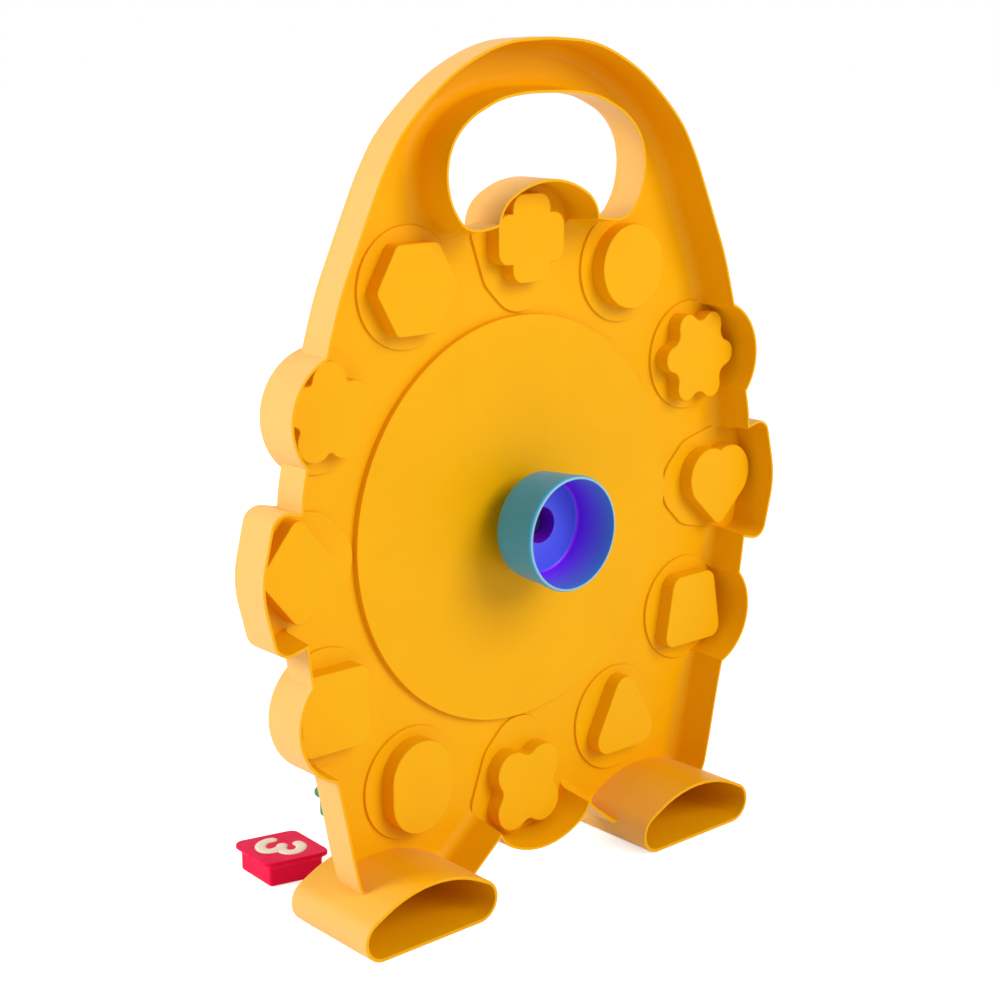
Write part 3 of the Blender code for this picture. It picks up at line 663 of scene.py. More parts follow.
def add_node(tree: NodeTree, kind: str, values: dict | None = None,
             links: dict | None = None, **settings) -> Node:
    """Add a node with its settings, socket values and incoming links.

    Args:
        tree: The node tree.
        kind: The node's type name.
        values: Input name or number to its value.
        links: Input name or number to the socket that feeds it.
        **settings: Properties of the node.

    Returns:
        The node.
    """
    node = tree.nodes.new(kind)
    for name, value in settings.items():
        setattr(node, name, value)
    for name, value in (values or {}).items():
        node.inputs[name].default_value = value
    for name, socket in (links or {}).items():
        tree.links.new(socket, node.inputs[name])
    return node


def new_material(name: str) -> tuple[Material, NodeTree, Node]:
    """Material with one Principled shader.

    Args:
        name: Name of the material.

    Returns:
        The material, its node tree and its shader.
    """
    made = bpy.data.materials.new(name)
    made.use_nodes = True
    return made, made.node_tree, made.node_tree.nodes["Principled BSDF"]


@dataclass(frozen=True)
class Moulding:
    """Injection-moulded thermoplastic with a fine spark-eroded surface.

    The tone drifts a little with the flow of the melt, the gloss is uneven where the tool was
    polished less, and the surface has a faint grain. Where a second, paler colour is given, it is
    painted on the walls that face sideways, as a painted sheen of the light that falls on them.
    """

    name: str
    colour: str
    deep: str = ""
    roughness: float = 0.38
    spread: float = 0.07
    flow_mm: float = 38.0
    cloud_mm: float = 9.0
    grain_mm: float = 0.9
    relief_mm: float = 0.015
    ior: float = 1.53
    specular: float = 0.5
    skin: str = ""
    clouds: Point = (0.3, 0.7)

    def base(self, tree: NodeTree, place: NodeSocket) -> NodeSocket:
        """Colour of the surface.

        Args:
            tree: The material's node tree.
            place: Socket of the place on the object.

        Returns:
            The colour's socket.
        """
        flow = add_node(tree, "ShaderNodeTexNoise",
                        {"Scale": 1 / (self.flow_mm * MM), "Detail": 3.0, "Distortion": 0.6},
                        {"Vector": place})
        tone = add_node(tree, "ShaderNodeValToRGB", links={"Fac": flow.outputs["Fac"]})
        for stop, position, colour in zip(tone.color_ramp.elements, self.clouds,
                                          (self.deep, self.colour)):
            stop.position, stop.color = position, linear(colour)
        if not self.skin:
            return tone.outputs["Color"]
        # Walls that face sideways get the paler colour: a painted sheen of the light on them
        walls = add_node(tree, "ShaderNodeAttribute", attribute_name=SHEEN_MASK)
        # Inputs 0, 6 and 7 of a colour mix are its share and its two colours
        paler = add_node(tree, "ShaderNodeMix", {7: linear(self.skin)},
                         {0: walls.outputs["Fac"], 6: tone.outputs["Color"]}, data_type="RGBA")
        return paler.outputs[2]

    def make(self) -> Material:
        """Build the material.

        Returns:
            The material.
        """
        made, tree, shader = new_material(self.name)
        shader.inputs["IOR"].default_value = self.ior
        shader.inputs["Specular IOR Level"].default_value = self.specular
        place = add_node(tree, "ShaderNodeTexCoord").outputs["Object"]
        cloud, grain = (add_node(tree, "ShaderNodeTexNoise",
                                 {"Scale": 1 / (size * MM), "Detail": detail}, {"Vector": place})
                        for size, detail in ((self.cloud_mm, 4.0), (self.grain_mm, 2.0)))
        gloss = add_node(tree, "ShaderNodeMapRange",
                         {"From Min": self.clouds[0], "From Max": self.clouds[1],
                          "To Min": self.roughness - self.spread,
                          "To Max": self.roughness + self.spread},
                         {"Value": cloud.outputs["Fac"]})
        bump = add_node(tree, "ShaderNodeBump",
                        {"Strength": 0.6, "Distance": self.relief_mm * MM},
                        {"Height": grain.outputs["Fac"]})
        tree.links.new(self.base(tree, place), shader.inputs["Base Color"])
        tree.links.new(gloss.outputs["Result"], shader.inputs["Roughness"])
        tree.links.new(bump.outputs["Normal"], shader.inputs["Normal"])
        return made


class Zone(Enum):
    """Part of the knob's surface, by the value of its mask."""

    OUTSIDE = 0.0
    RIM = 0.1
    LIP = 0.2
    WALL = 0.6
    FLOOR = 0.8
    HOLE = 1.0


@dataclass(frozen=True)
class CupMoulding(Moulding):
    """Glossy blue knob with light painted by zone: teal outside for yellow bounce light, a painted
    highlight on the rim, painted shade that turns the cup violet down its wall, a blue floor, a
    hole in painted shade.
    """

    zones: tuple[tuple[Zone, str], ...] = ()
    hole: str = ""

    def base(self, tree: NodeTree, place: NodeSocket) -> NodeSocket:
        """Colour of the surface, by its zone.

        Args:
            tree: The material's node tree.
            place: Socket of the place on the object, which isn't needed here.

        Returns:
            The colour's socket.
        """
        where = add_node(tree, "ShaderNodeAttribute", attribute_name=CUP)
        ramp = add_node(tree, "ShaderNodeValToRGB", links={"Fac": where.outputs["Fac"]})
        stops = ramp.color_ramp.elements
        # Colours by zone paint light and shade: teal outside for yellow bounce light, the pale rim
        # as a painted highlight, the violet wall and hole as painted shade
        stops[0].color, stops[1].color = linear(self.colour), linear(self.hole)
        for zone, colour in self.zones:
            stops.new(zone.value).color = linear(colour)
        return ramp.outputs["Color"]


@dataclass(frozen=True)
class TurnedSteel:
    """Bright bar steel, turned on a lathe: fine rings round the axis catch the light."""

    name: str = "turned_steel"
    colour: str = "#C9C9CC"
    ring_mm: float = 0.25
    wave_turn: float = 20.0
    gloss: Point = (0.22, 0.4)

    def make(self) -> Material:
        """Build the material.

        Returns:
            The material.
        """
        made, tree, shader = new_material(self.name)
        shader.inputs["Metallic"].default_value = 1.0
        shader.inputs["Base Color"].default_value = linear(self.colour)
        place = add_node(tree, "ShaderNodeTexCoord").outputs["Object"]
        rings = add_node(tree, "ShaderNodeTexWave",
                         {"Scale": 1 / (self.ring_mm * MM * self.wave_turn), "Distortion": 0.4},
                         {"Vector": place}, wave_type="BANDS", bands_direction="Y")
        gloss = add_node(tree, "ShaderNodeMapRange",
                         {"To Min": self.gloss[0], "To Max": self.gloss[1]},
                         {"Value": rings.outputs["Fac"]})
        bump = add_node(tree, "ShaderNodeBump", {"Strength": 0.3, "Distance": 0.02 * MM},
                        {"Height": rings.outputs["Fac"]})
        tree.links.new(gloss.outputs["Result"], shader.inputs["Roughness"])
        tree.links.new(bump.outputs["Normal"], shader.inputs["Normal"])
        return made


class Palette:
    """All finishes of the clock, made once."""

    def __init__(self) -> None:
        """Make the finishes."""
        # Polypropylene, moulded: warm yellow with a soft sheen, and a paler colour painted on the
        # side walls as sheen of the light
        self.yellow = Moulding("yellow_polypropylene", "#F0AD00", "#ECA900", 0.45, 0.05,
                               ior=1.49, specular=0.12, skin="#F0BA66").make()
        # ABS, moulded: clear strong colours with a brighter sheen
        self.red = Moulding("red_abs", "#F4004A", "#EA0044", 0.45, specular=0.1).make()
        self.green = Moulding("green_abs", "#1E8A4C", "#1A7C45", 0.34, relief_mm=0.006).make()
        self.blue = Moulding("blue_abs", "#1F62C8", "#1A58B8", 0.34, relief_mm=0.006).make()
        # ABS with a matte skin, for the dial and the small bearings
        self.cream = Moulding("cream_abs", "#FFF0DA", "#FAE8CF", 0.5, 0.05).make()
        self.ink = Moulding("grey_abs", "#4B4A55", "#42414B", 0.45, 0.05).make()
        # ABS, moulded and glossy, with light and shade painted into the tones of its outside, rim,
        # cup and hole
        self.knob = CupMoulding(
            "knob_abs", "#3AA4D6", roughness=0.34, spread=0.05, relief_mm=0.006, specular=0.25,
            zones=((Zone.RIM, "#8FBCCB"), (Zone.LIP, "#4886CC"), (Zone.WALL, "#8A00F4"),
                   (Zone.FLOOR, "#525CE4")), hole="#8018C6").make()
        # Bar steel, turned, left bright on the spindle, and dark violet on the screw as painted
        # shade, so it passes for the dark bottom of the knob's hole
        self.steel = TurnedSteel().make()
        self.blued_steel = TurnedSteel("blued_steel", "#3A2C7C").make()

    def of_block(self, hour: int) -> tuple[Material, str]:
        """Material of a block and its slot in the record."""
        return ((self.red, "red_block"), (self.blue, "blue_block"),
                (self.green, "green_block"))[hour % 3]


def dress(item: Object, finish: Material, body: str, slot: str,
          *nodes: str) -> Object:
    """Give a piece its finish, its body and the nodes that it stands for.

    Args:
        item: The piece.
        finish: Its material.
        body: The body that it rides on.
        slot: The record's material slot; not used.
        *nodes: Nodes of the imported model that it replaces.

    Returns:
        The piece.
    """
    item.data.materials.clear()
    item.data.materials.append(finish)
    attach(item, body)
    if nodes:
        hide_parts(*nodes)
    LOG.info("%s: %d faces on %s", item.name, len(item.data.polygons), body)
    return item


# Housing


@dataclass
class Housing:
    """Yellow moulding: plate, skirt, lobes, handle, wells and feet in one piece."""

    wall: float = 2 * MM
    body_round: float = 8 * MM
    side_round: float = 4.2 * MM
    front_round: float = 1.8 * MM
    rim_round: float = 0.35 * MM
    draft: float = 0.9 * MM
    fillet: float = 4.6 * MM
    lobe_fillet: float = 1.8 * MM
    crisp: float = 0.35 * MM
    overrun: float = 4 * MM
    step: float = math.radians(6)
    half_width: float = 110.5 * MM
    arch_rise: float = 173.5 * MM
    leg_drop: float = 124 * MM
    hole_half_width: float = 46.5 * MM
    hole_top: float = 154.6 * MM
    hole_base: float = 109.9 * MM
    dish: float = 21.4 * MM
    lobe_rim: float = 1.1 * MM
    boss_wall: float = 1.8 * MM
    pocket_fit: float = 0.4 * MM
    dial_boss: float = 76.2 * MM
    bore: float = 5.5 * MM
    foot_x: float = 67.9 * MM
    foot_half: float = 30 * MM
    foot_height: float = 22.8 * MM
    foot_end: float = 8.1 * MM
    foot_crown: float = 46.3 * MM
    foot_round: float = 2 * MM
    foot_wall: float = 1.8 * MM
    lobed: tuple[int, ...] = (2, 3, 4, 6, 8, 9, 10, 12)
    key_foot: Disc = (0.0, -13.2 * MM, 13.7 * MM)
    key_side: Disc = (5.5 * MM, -9 * MM, 12.8 * MM)
    key_crown: Disc = (0.0, -12.75 * MM, 33 * MM)
    key_corner: Disc = (18.1 * MM, 11.4 * MM, 5.2 * MM)
    soft_key_corner: Disc = (11.3 * MM, 4.96 * MM, 12 * MM)
    frame_shares: tuple[Point, ...] = (
        (0.0, 1.0), (0.163, 0.993), (0.297, 0.967), (0.438, 0.917), (0.585, 0.835),
        (0.663, 0.764), (0.723, 0.688), (0.783, 0.605), (0.837, 0.527), (0.885, 0.432),
        (0.927, 0.34), (0.966, 0.227), (0.987, 0.164), (0.998, 0.08), (1.0, 0.0),
        (0.991, -0.121), (0.975, -0.247), (0.95, -0.379), (0.918, -0.492), (0.883, -0.593),
        (0.85, -0.726), (0.82, -0.86), (0.785, -0.955), (0.69, -1.0))
    leg_shares: tuple[Point, ...] = ((0.33, -1.02), (0.226, -0.943), (0.19, -0.915))
    hole_shares: tuple[Point, ...] = (
        (0.0, 1.0), (0.235, 0.995), (0.471, 0.958), (0.66, 0.884), (0.79, 0.81), (0.905, 0.7),
        (0.976, 0.566), (1.0, 0.407), (0.976, 0.248), (0.918, 0.125), (0.84, 0.035),
        (0.729, 0.0), (0.613, 0.009), (0.45, 0.04))

    def body_outline(self, grow: float) -> Outline:
        """Arch, sides and legs about the dial's centre.

        Args:
            grow: Amount of growth.

        Returns:
            The points, counter-clockwise.
        """
        half = [(wide * self.half_width, high * (self.arch_rise if high > 0 else self.leg_drop))
                for wide, high in self.frame_shares]
        half = smooth_through(half, 5)
        half += [(wide * self.half_width, high * self.leg_drop) for wide, high in self.leg_shares]
        return offset(both_sides(half), grow)

    def hole_outline(self, grow: float) -> Outline:
        """Handle hole about the dial's centre.

        Args:
            grow: Amount of growth.

        Returns:
            The points, counter-clockwise.
        """
        rise = self.hole_top - self.hole_base
        half = [(wide * self.hole_half_width, self.hole_base + high * rise)
                for wide, high in self.hole_shares]
        return offset(both_sides(smooth_through(half, 6)), grow)

    def dish_outline(self, hour: int, extra: float = 0.0) -> Grown:
        """Dish round a well: a keystone at the quarters, softer at six and twelve, else a round.

        Args:
            hour: Number of the well.
            extra: Growth that is always added.

        Returns:
            Function that gives the outline for an amount of growth.
        """
        x, z = PLACES.well(hour)
        if hour % 3:
            return moved(circle(self.dish + extra, self.step), (x, z))
        angle = hour * math.pi / 6
        cos, sin = math.cos(angle), math.sin(angle)
        corner = self.key_corner if hour % 6 else self.soft_key_corner
        circles = mirrored((self.key_foot, self.key_side, corner, self.key_crown))

        def outline(grow: float) -> Outline:
            """Keystone turned to its hour."""
            points = hull(circles, extra + grow, self.step)
            return [(x + px * cos + pz * sin, z - px * sin + pz * cos) for px, pz in points]

        return outline

    def foot_outline(self, side: int, extra: float = 0.0) -> Grown:
        """Section of a foot: flat below, arched above.

        Args:
            side: +1 for the foot at x > 0, -1 for the other.
            extra: Growth that is always added.

        Returns:
            Function that gives the outline for an amount of growth.
        """
        circles = mirrored(((self.foot_half - self.foot_end, self.foot_end, self.foot_end),
                            (0.0, self.foot_height - self.foot_crown, self.foot_crown)))
        centre = (side * self.foot_x, -PLACES.centre_height)
        return moved(lambda grow: hull(circles, extra + grow, self.step), centre)

    def shell_profile(self, rounding: float, steps: int = 5) -> Profile:
        """Skirt with a rounded front edge and a softened rim."""
        return [*edge(PLACES.front, rounding, 1, steps), *self.rim_profile(PLACES.rim)]

    def rim_profile(self, rim: float) -> Profile:
        """Softened edge of a wall that ends at a place along Y."""
        return edge(rim, self.rim_round, -1, 2)[::-1]

    def hollow_profile(self, fillet: float, steps: int = 6) -> Profile:
        """Hollow of the back: soft at the plate, wider towards the rim, as the wall is drafted.

        Args:
            fillet: Radius between plate and wall.
            steps: Pieces of that round.

        Returns:
            Pairs of a place along Y and a growth.
        """
        return [*edge(PLACES.plate_rear, fillet, 1, steps),
                *((y, grow + self.draft)
                  for y, grow in flare(PLACES.rim, self.rim_round, self.overrun))]

    def boss_profile(self, rear: float, radius: float) -> Profile:
        """Boss that is rooted in the plate's rear fifth, with a rounded rear edge."""
        root = PLACES.plate_rear - self.wall / 5
        return [(root, 0.0), *reversed(edge(rear, radius, -1, 2))]

    def cut_profile(self, front: float, floor: float, corner: float) -> Profile:
        """Recess with a rounded mouth, down to a floor with a corner radius."""
        return [*edge(floor, corner, -1, 2), *flare(front, self.crisp, -self.overrun)][::-1]

    def additions(self) -> list[Object]:
        """Walls, bosses and feet that stand on the plate.

        Returns:
            The solids.
        """
        hole = [(PLACES.plate_rear - self.wall / 2, self.fillet)]
        hole += [(y, -grow) for y, grow in edge(PLACES.plate_rear, self.fillet, 1, 8)]
        hole += [(y, grow - self.draft) for y, grow in self.rim_profile(PLACES.rim)]
        wall = loft("hole_wall", lambda grow: self.hole_outline(grow + self.wall), hole)
        inside = self.dish_outline(12, self.lobe_rim - self.wall)
        clear = loft("hole_wall_clear", inside, self.hollow_profile(self.lobe_fillet))
        items = [combine(wall, Operation.CUT, [clear]),
                 loft("dial_boss", circle(self.dial_boss, self.step / 3),
                      self.boss_profile(PLACES.dial_rear, self.crisp))]
        dish = self.boss_profile(PLACES.dish_floor + self.wall, self.crisp)
        boss = self.boss_profile(PLACES.pocket_floor + self.wall, 2 * self.crisp)
        extra = self.pocket_fit + self.boss_wall
        for plug in Plug:
            items.append(loft(f"dish_{plug.value}", self.dish_outline(plug.value), dish))
            shape = moved(PLUGS.outline(plug), PLACES.well(plug.value))
            items.append(loft(f"boss_{plug.value}", lambda grow: shape(grow + extra), boss))
        foot = [*edge(PLACES.foot_front, self.foot_round, 1), *self.rim_profile(PLACES.foot_rear)]
        for side in (-1, 1):
            items.append(mark_skin(loft(f"foot_{side}", self.foot_outline(side), foot), 0.0))
        return items

    def recesses(self) -> list[Object]:
        """Handle hole, the dial's recess and the dishes round the wells.

        Returns:
            The solids.
        """
        mouth = flare(PLACES.front, self.body_round, -self.overrun, 10)[::-1]
        profile = [*mouth, *flare(PLACES.rim, self.rim_round, self.overrun)]
        hole = mark_skin(loft("handle_hole", self.hole_outline, profile))
        shell = self.shell_profile(self.front_round)
        shell = [(PLACES.front - 2 * self.overrun, shell[0][1]), *shell,
                 (PLACES.rim + 2 * self.overrun, shell[-1][1])]
        keep = mark_skin(loft("handle_hole_keep", self.dish_outline(12, self.lobe_rim), shell))
        items = [combine(hole, Operation.CUT, [keep]),
                 loft("dial_recess", circle(self.dial_boss - self.wall, self.step / 3),
                      self.cut_profile(PLACES.front, PLACES.dial_floor, 0.0))]
        dish = self.cut_profile(PLACES.front, PLACES.dish_floor, 0.0)
        for hour in range(1, 13):
            items.append(loft(f"dish_cut_{hour}", self.dish_outline(hour, -self.boss_wall), dish))
        return items

    def hollows(self) -> list[Object]:
        """Bore, pockets of the wells and cups of the feet, cut after the recesses.

        Returns:
            The solids.
        """
        items = [loft("bore", circle(self.bore, self.step),
                      [(PLACES.front - self.overrun, 0.0),
                       (PLACES.dial_rear + self.overrun, 0.0)])]
        pocket = self.cut_profile(PLACES.dish_floor, PLACES.pocket_floor, self.crisp)
        for plug in Plug:
            shape = moved(PLUGS.outline(plug), PLACES.well(plug.value))
            items.append(loft(f"pocket_{plug.value}",
                              lambda grow: shape(grow + self.pocket_fit), pocket))
        rear = flare(PLACES.foot_rear, self.rim_round, self.overrun)
        cup = [*edge(PLACES.foot_front + self.foot_wall, self.foot_wall, 1),
               *((y, grow + self.draft / 2) for y, grow in rear)]
        for side in (-1, 1):
            items.append(loft(f"cup_{side}", self.foot_outline(side, -self.foot_wall), cup))
        return items

    def build(self) -> Object:
        """Build the whole moulding.

        Returns:
            The finished mesh object.
        """
        body = mark_skin(loft("housing_body", self.body_outline,
                              self.shell_profile(self.body_round, 10)))
        rounding = {3: self.side_round, 9: self.side_round}
        lobes = [mark_skin(loft(f"lobe_{hour}", self.dish_outline(hour, self.lobe_rim),
                                self.shell_profile(rounding.get(hour, self.front_round), 6)))
                 for hour in self.lobed]
        cavity = [loft("cavity", lambda grow: self.body_outline(grow - self.wall),
                       self.hollow_profile(self.fillet, 8))]
        cavity += [loft(f"cavity_{hour}", self.dish_outline(hour, self.lobe_rim - self.wall),
                        self.hollow_profile(self.lobe_fillet)) for hour in self.lobed]
        additions = self.additions()
        recesses, hollows = self.recesses(), self.hollows()
        combine(body, Operation.JOIN, lobes)
        combine(body, Operation.CUT, cavity)
        combine(body, Operation.JOIN, additions)
        combine(body, Operation.CUT, recesses)
        combine(body, Operation.CUT, hollows)
        return smooth(frozen(body, "yellow_housing"))

    def dress(self, palette: Palette) -> None:
        """Build the moulding and put it on its body."""
        dress(self.build(), palette.yellow, "clock", "yellow_moulding", "housing")


# Blocks and their numerals


@dataclass(frozen=True)
class Numerals:
    """Raised numerals drawn with one rounded stroke width, in a box one unit high."""

    height: float = 19 * MM
    pair_height: float = 13 * MM
    stroke_share: float = 0.115
    relief: float = 0.4 * MM
    pitch: float = 0.72
    step: float = math.radians(12)
    cap_degrees: tuple[float, ...] = (30, 55, 75, 88)

    def bow(self, centre: Point, size: Point, start: float, end: float) -> Outline:
        """Elliptical arc in degrees, either way round.

        Args:
            centre: Centre of the arc.
            size: Its half width and half height.
            start: First angle in degrees.
            end: Last angle in degrees.

        Returns:
            The points of the arc.
        """
        count = max(2, math.ceil(abs(math.radians(end - start)) / self.step))
        angles = [math.radians(start + (end - start) * i / count) for i in range(count + 1)]
        return [(centre[0] + size[0] * math.cos(a), centre[1] + size[1] * math.sin(a))
                for a in angles]

    def strokes(self, digit: str) -> list[Outline]:
        """Centre lines of a digit's strokes.

        Args:
            digit: One digit.

        Returns:
            One list of points for each stroke.
        """
        bow = self.bow
        return {
            "0": [bow((0, 0), (0.25, 0.42), 90, 450)],
            "1": [[(-0.13, 0.27), (0.04, 0.42), (0.04, -0.42)]],
            "2": [[*bow((0, 0.18), (0.24, 0.24), 165, -40), (-0.24, -0.42), (0.26, -0.42)]],
            "3": [[*bow((0, 0.21), (0.23, 0.2), 160, -90), (-0.05, 0.0)],
                  bow((0, -0.21), (0.27, 0.21), 75, -160)],
            "4": [[(0.1, 0.42), (-0.27, -0.16), (0.27, -0.16)], [(0.1, 0.38), (0.1, -0.42)]],
            "5": [[(0.2, 0.42), (-0.17, 0.42), (-0.19, 0.04),
                   *bow((0, -0.15), (0.25, 0.27), 118, -145)]],
            "6": [bow((0, -0.17), (0.24, 0.25), 0, 360),
                  bow((0.24, -0.17), (0.48, 0.6), 180, 102)],
            "7": [[(-0.24, 0.42), (0.24, 0.42), (-0.06, -0.42)]],
            "8": [bow((0, 0.21), (0.2, 0.2), 0, 360), bow((0, -0.19), (0.25, 0.23), 0, 360)],
            "9": [bow((0, 0.17), (0.24, 0.25), 0, 360),
                  bow((-0.24, 0.17), (0.48, 0.6), 0, -78)],
        }[digit]

    def build(self, hour: int) -> Object:
        """Numeral standing on the plane z = 0, with its up along +Y.

        Args:
            hour: The number to write.

        Returns:
            The numeral's mesh object, with its strokes joined.
        """
        digits = str(hour)
        height = self.height if len(digits) == 1 else self.pair_height
        parts = []
        for place, digit in enumerate(digits):
            shift = (place - (len(digits) - 1) / 2) * self.pitch
            for stroke in self.strokes(digit):
                points = [((x + shift) * height, z * height) for x, z in stroke]
                parts.append(self.draw(points, height * self.stroke_share))
        made = frozen(combine(parts[0], Operation.JOIN, parts[1:]), f"numeral_{hour}")
        made.data.shade_smooth()
        return made

    def draw(self, points: Outline, radius: float) -> Object:
        """One stroke with rounded ends, flattened to the numeral's relief.

        Args:
            points: The stroke's centre line; it is closed where it meets itself.
            radius: Half the stroke's width.

        Returns:
            The stroke's mesh object.
        """
        curve = bpy.data.curves.new("stroke", "CURVE")
        curve.dimensions = "3D"
        curve.bevel_depth = radius
        curve.bevel_resolution = 3
        curve.use_fill_caps = True
        closed = math.dist(points[0], points[-1]) < radius / 10
        if closed:
            marks = [(x, z, 1.0) for x, z in points[:-1]]
        else:
            marks = [*self.cap(points[1], points[0], radius)[::-1],
                     *((x, z, 1.0) for x, z in points),
                     *self.cap(points[-2], points[-1], radius)]
        spline = curve.splines.new("POLY")
        spline.points.add(len(marks) - 1)
        for target, (x, z, share) in zip(spline.points, marks):
            target.co = (x, z, 0.0, 1.0)
            target.radius = share
        spline.use_cyclic_u = closed
        item = add_object("stroke", curve)
        bpy.context.view_layer.update()
        made = frozen(item, "stroke")
        bpy.data.curves.remove(curve)
        made.data.transform(Matrix.Diagonal((1.0, 1.0, self.relief / radius, 1.0)))
        return made

    def cap(self, before: Point, end: Point, radius: float) -> list[Place]:
        """Points past the end of a stroke that close it with a round.

        Args:
            before: The stroke's last point but one.
            end: Its last point.
            radius: Half its width.

        Returns:
            x, z and share of the width of each point.
        """
        run = math.dist(before, end)
        way = ((end[0] - before[0]) / run, (end[1] - before[1]) / run)
        marks = []
        for angle in map(math.radians, self.cap_degrees):
            out = radius * math.sin(angle)
            marks.append((end[0] + way[0] * out, end[1] + way[1] * out, math.cos(angle)))
        return marks


@dataclass
class Blocks:
    """Twelve lift-out blocks: a plug, a cove that spreads to a flange, and a numeral on top."""

    plug: float = 6.4 * MM
    cove: float = 2.6 * MM
    spread: float = 2.2 * MM
    flange: float = 1.4 * MM
    top_round: float = 0.5 * MM
    foot_round: float = 0.6 * MM
    red_turn: float = math.radians(37)
    green_turn: float = math.radians(12.3)

    def profile(self) -> Profile:
        """Section of a block, from the plug's end to the flange's top.

        Returns:
            Pairs of a height and a growth.
        """
        cove = [(self.plug + self.cove * math.sin(a), self.spread * (1 - math.cos(a)))
                for a in quarter(5)]
        lip = [(y, grow + self.spread) for y, grow in edge(self.top, self.top_round, -1, 3)]
        return [*edge(0.0, self.foot_round, 1, 3), *cove, *lip[::-1]]

    @property
    def top(self) -> float:
        """Height of the flange's top over the plug's end."""
        return self.plug + self.cove + self.flange

    def placing(self, hour: int) -> Matrix:
        """Matrix from a block standing on z = 0 to its place.

        Args:
            hour: Number of the block.

        Returns:
            The matrix.
        """
        if hour in (2, 3):
            low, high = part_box(f"block_{hour}")
            turn = self.red_turn if hour == 3 else self.green_turn
            spin = Matrix.Rotation(turn, 4, "Z")
            flange = [spin @ Vector((x, y, 0.0)) for x, y in
                      PLUGS.outline(Plug(hour))(self.spread)]
            x = (low[0] + high[0]) / 2 - (min(p.x for p in flange) + max(p.x for p in flange)) / 2
            y = low[1] - min(p.y for p in flange)
            return Matrix.Translation((x, y, 0.0)) @ spin
        x, z = PLACES.well(hour)
        place = Matrix.Translation((x, PLACES.pocket_floor - PLACES.gap, PLACES.centre_height + z))
        return place @ Matrix.Rotation(RIGHT_ANGLE, 4, "X")

    def build(self, hour: int) -> Object:
        """One block in its place.

        Args:
            hour: Number of the block.

        Returns:
            The block's mesh object.
        """
        outline = PLUGS.outline(Plug(hour))
        item = solid_over(f"number_block_{hour}", [[(x, z, height) for x, z in outline(grow)]
                                                   for height, grow in self.profile()])
        item.data.transform(self.placing(hour))
        return smooth(item)

    def dress(self, palette: Palette) -> None:
        """Build all blocks with their numerals and put each on its body.

        Args:
            palette: All finishes.
        """
        numerals = Numerals()
        for hour in range(1, 13):
            finish, slot = palette.of_block(hour)
            dress(self.build(hour), finish, f"block_{hour}", slot, f"block_{hour}")
            numeral = numerals.build(hour)
            raised = self.placing(hour) @ Matrix.Translation((0.0, 0.0, self.top))
            numeral.data.transform(raised)
            dress(numeral, palette.cream, f"block_{hour}", "cream_dial")


# Dial, hands and knob


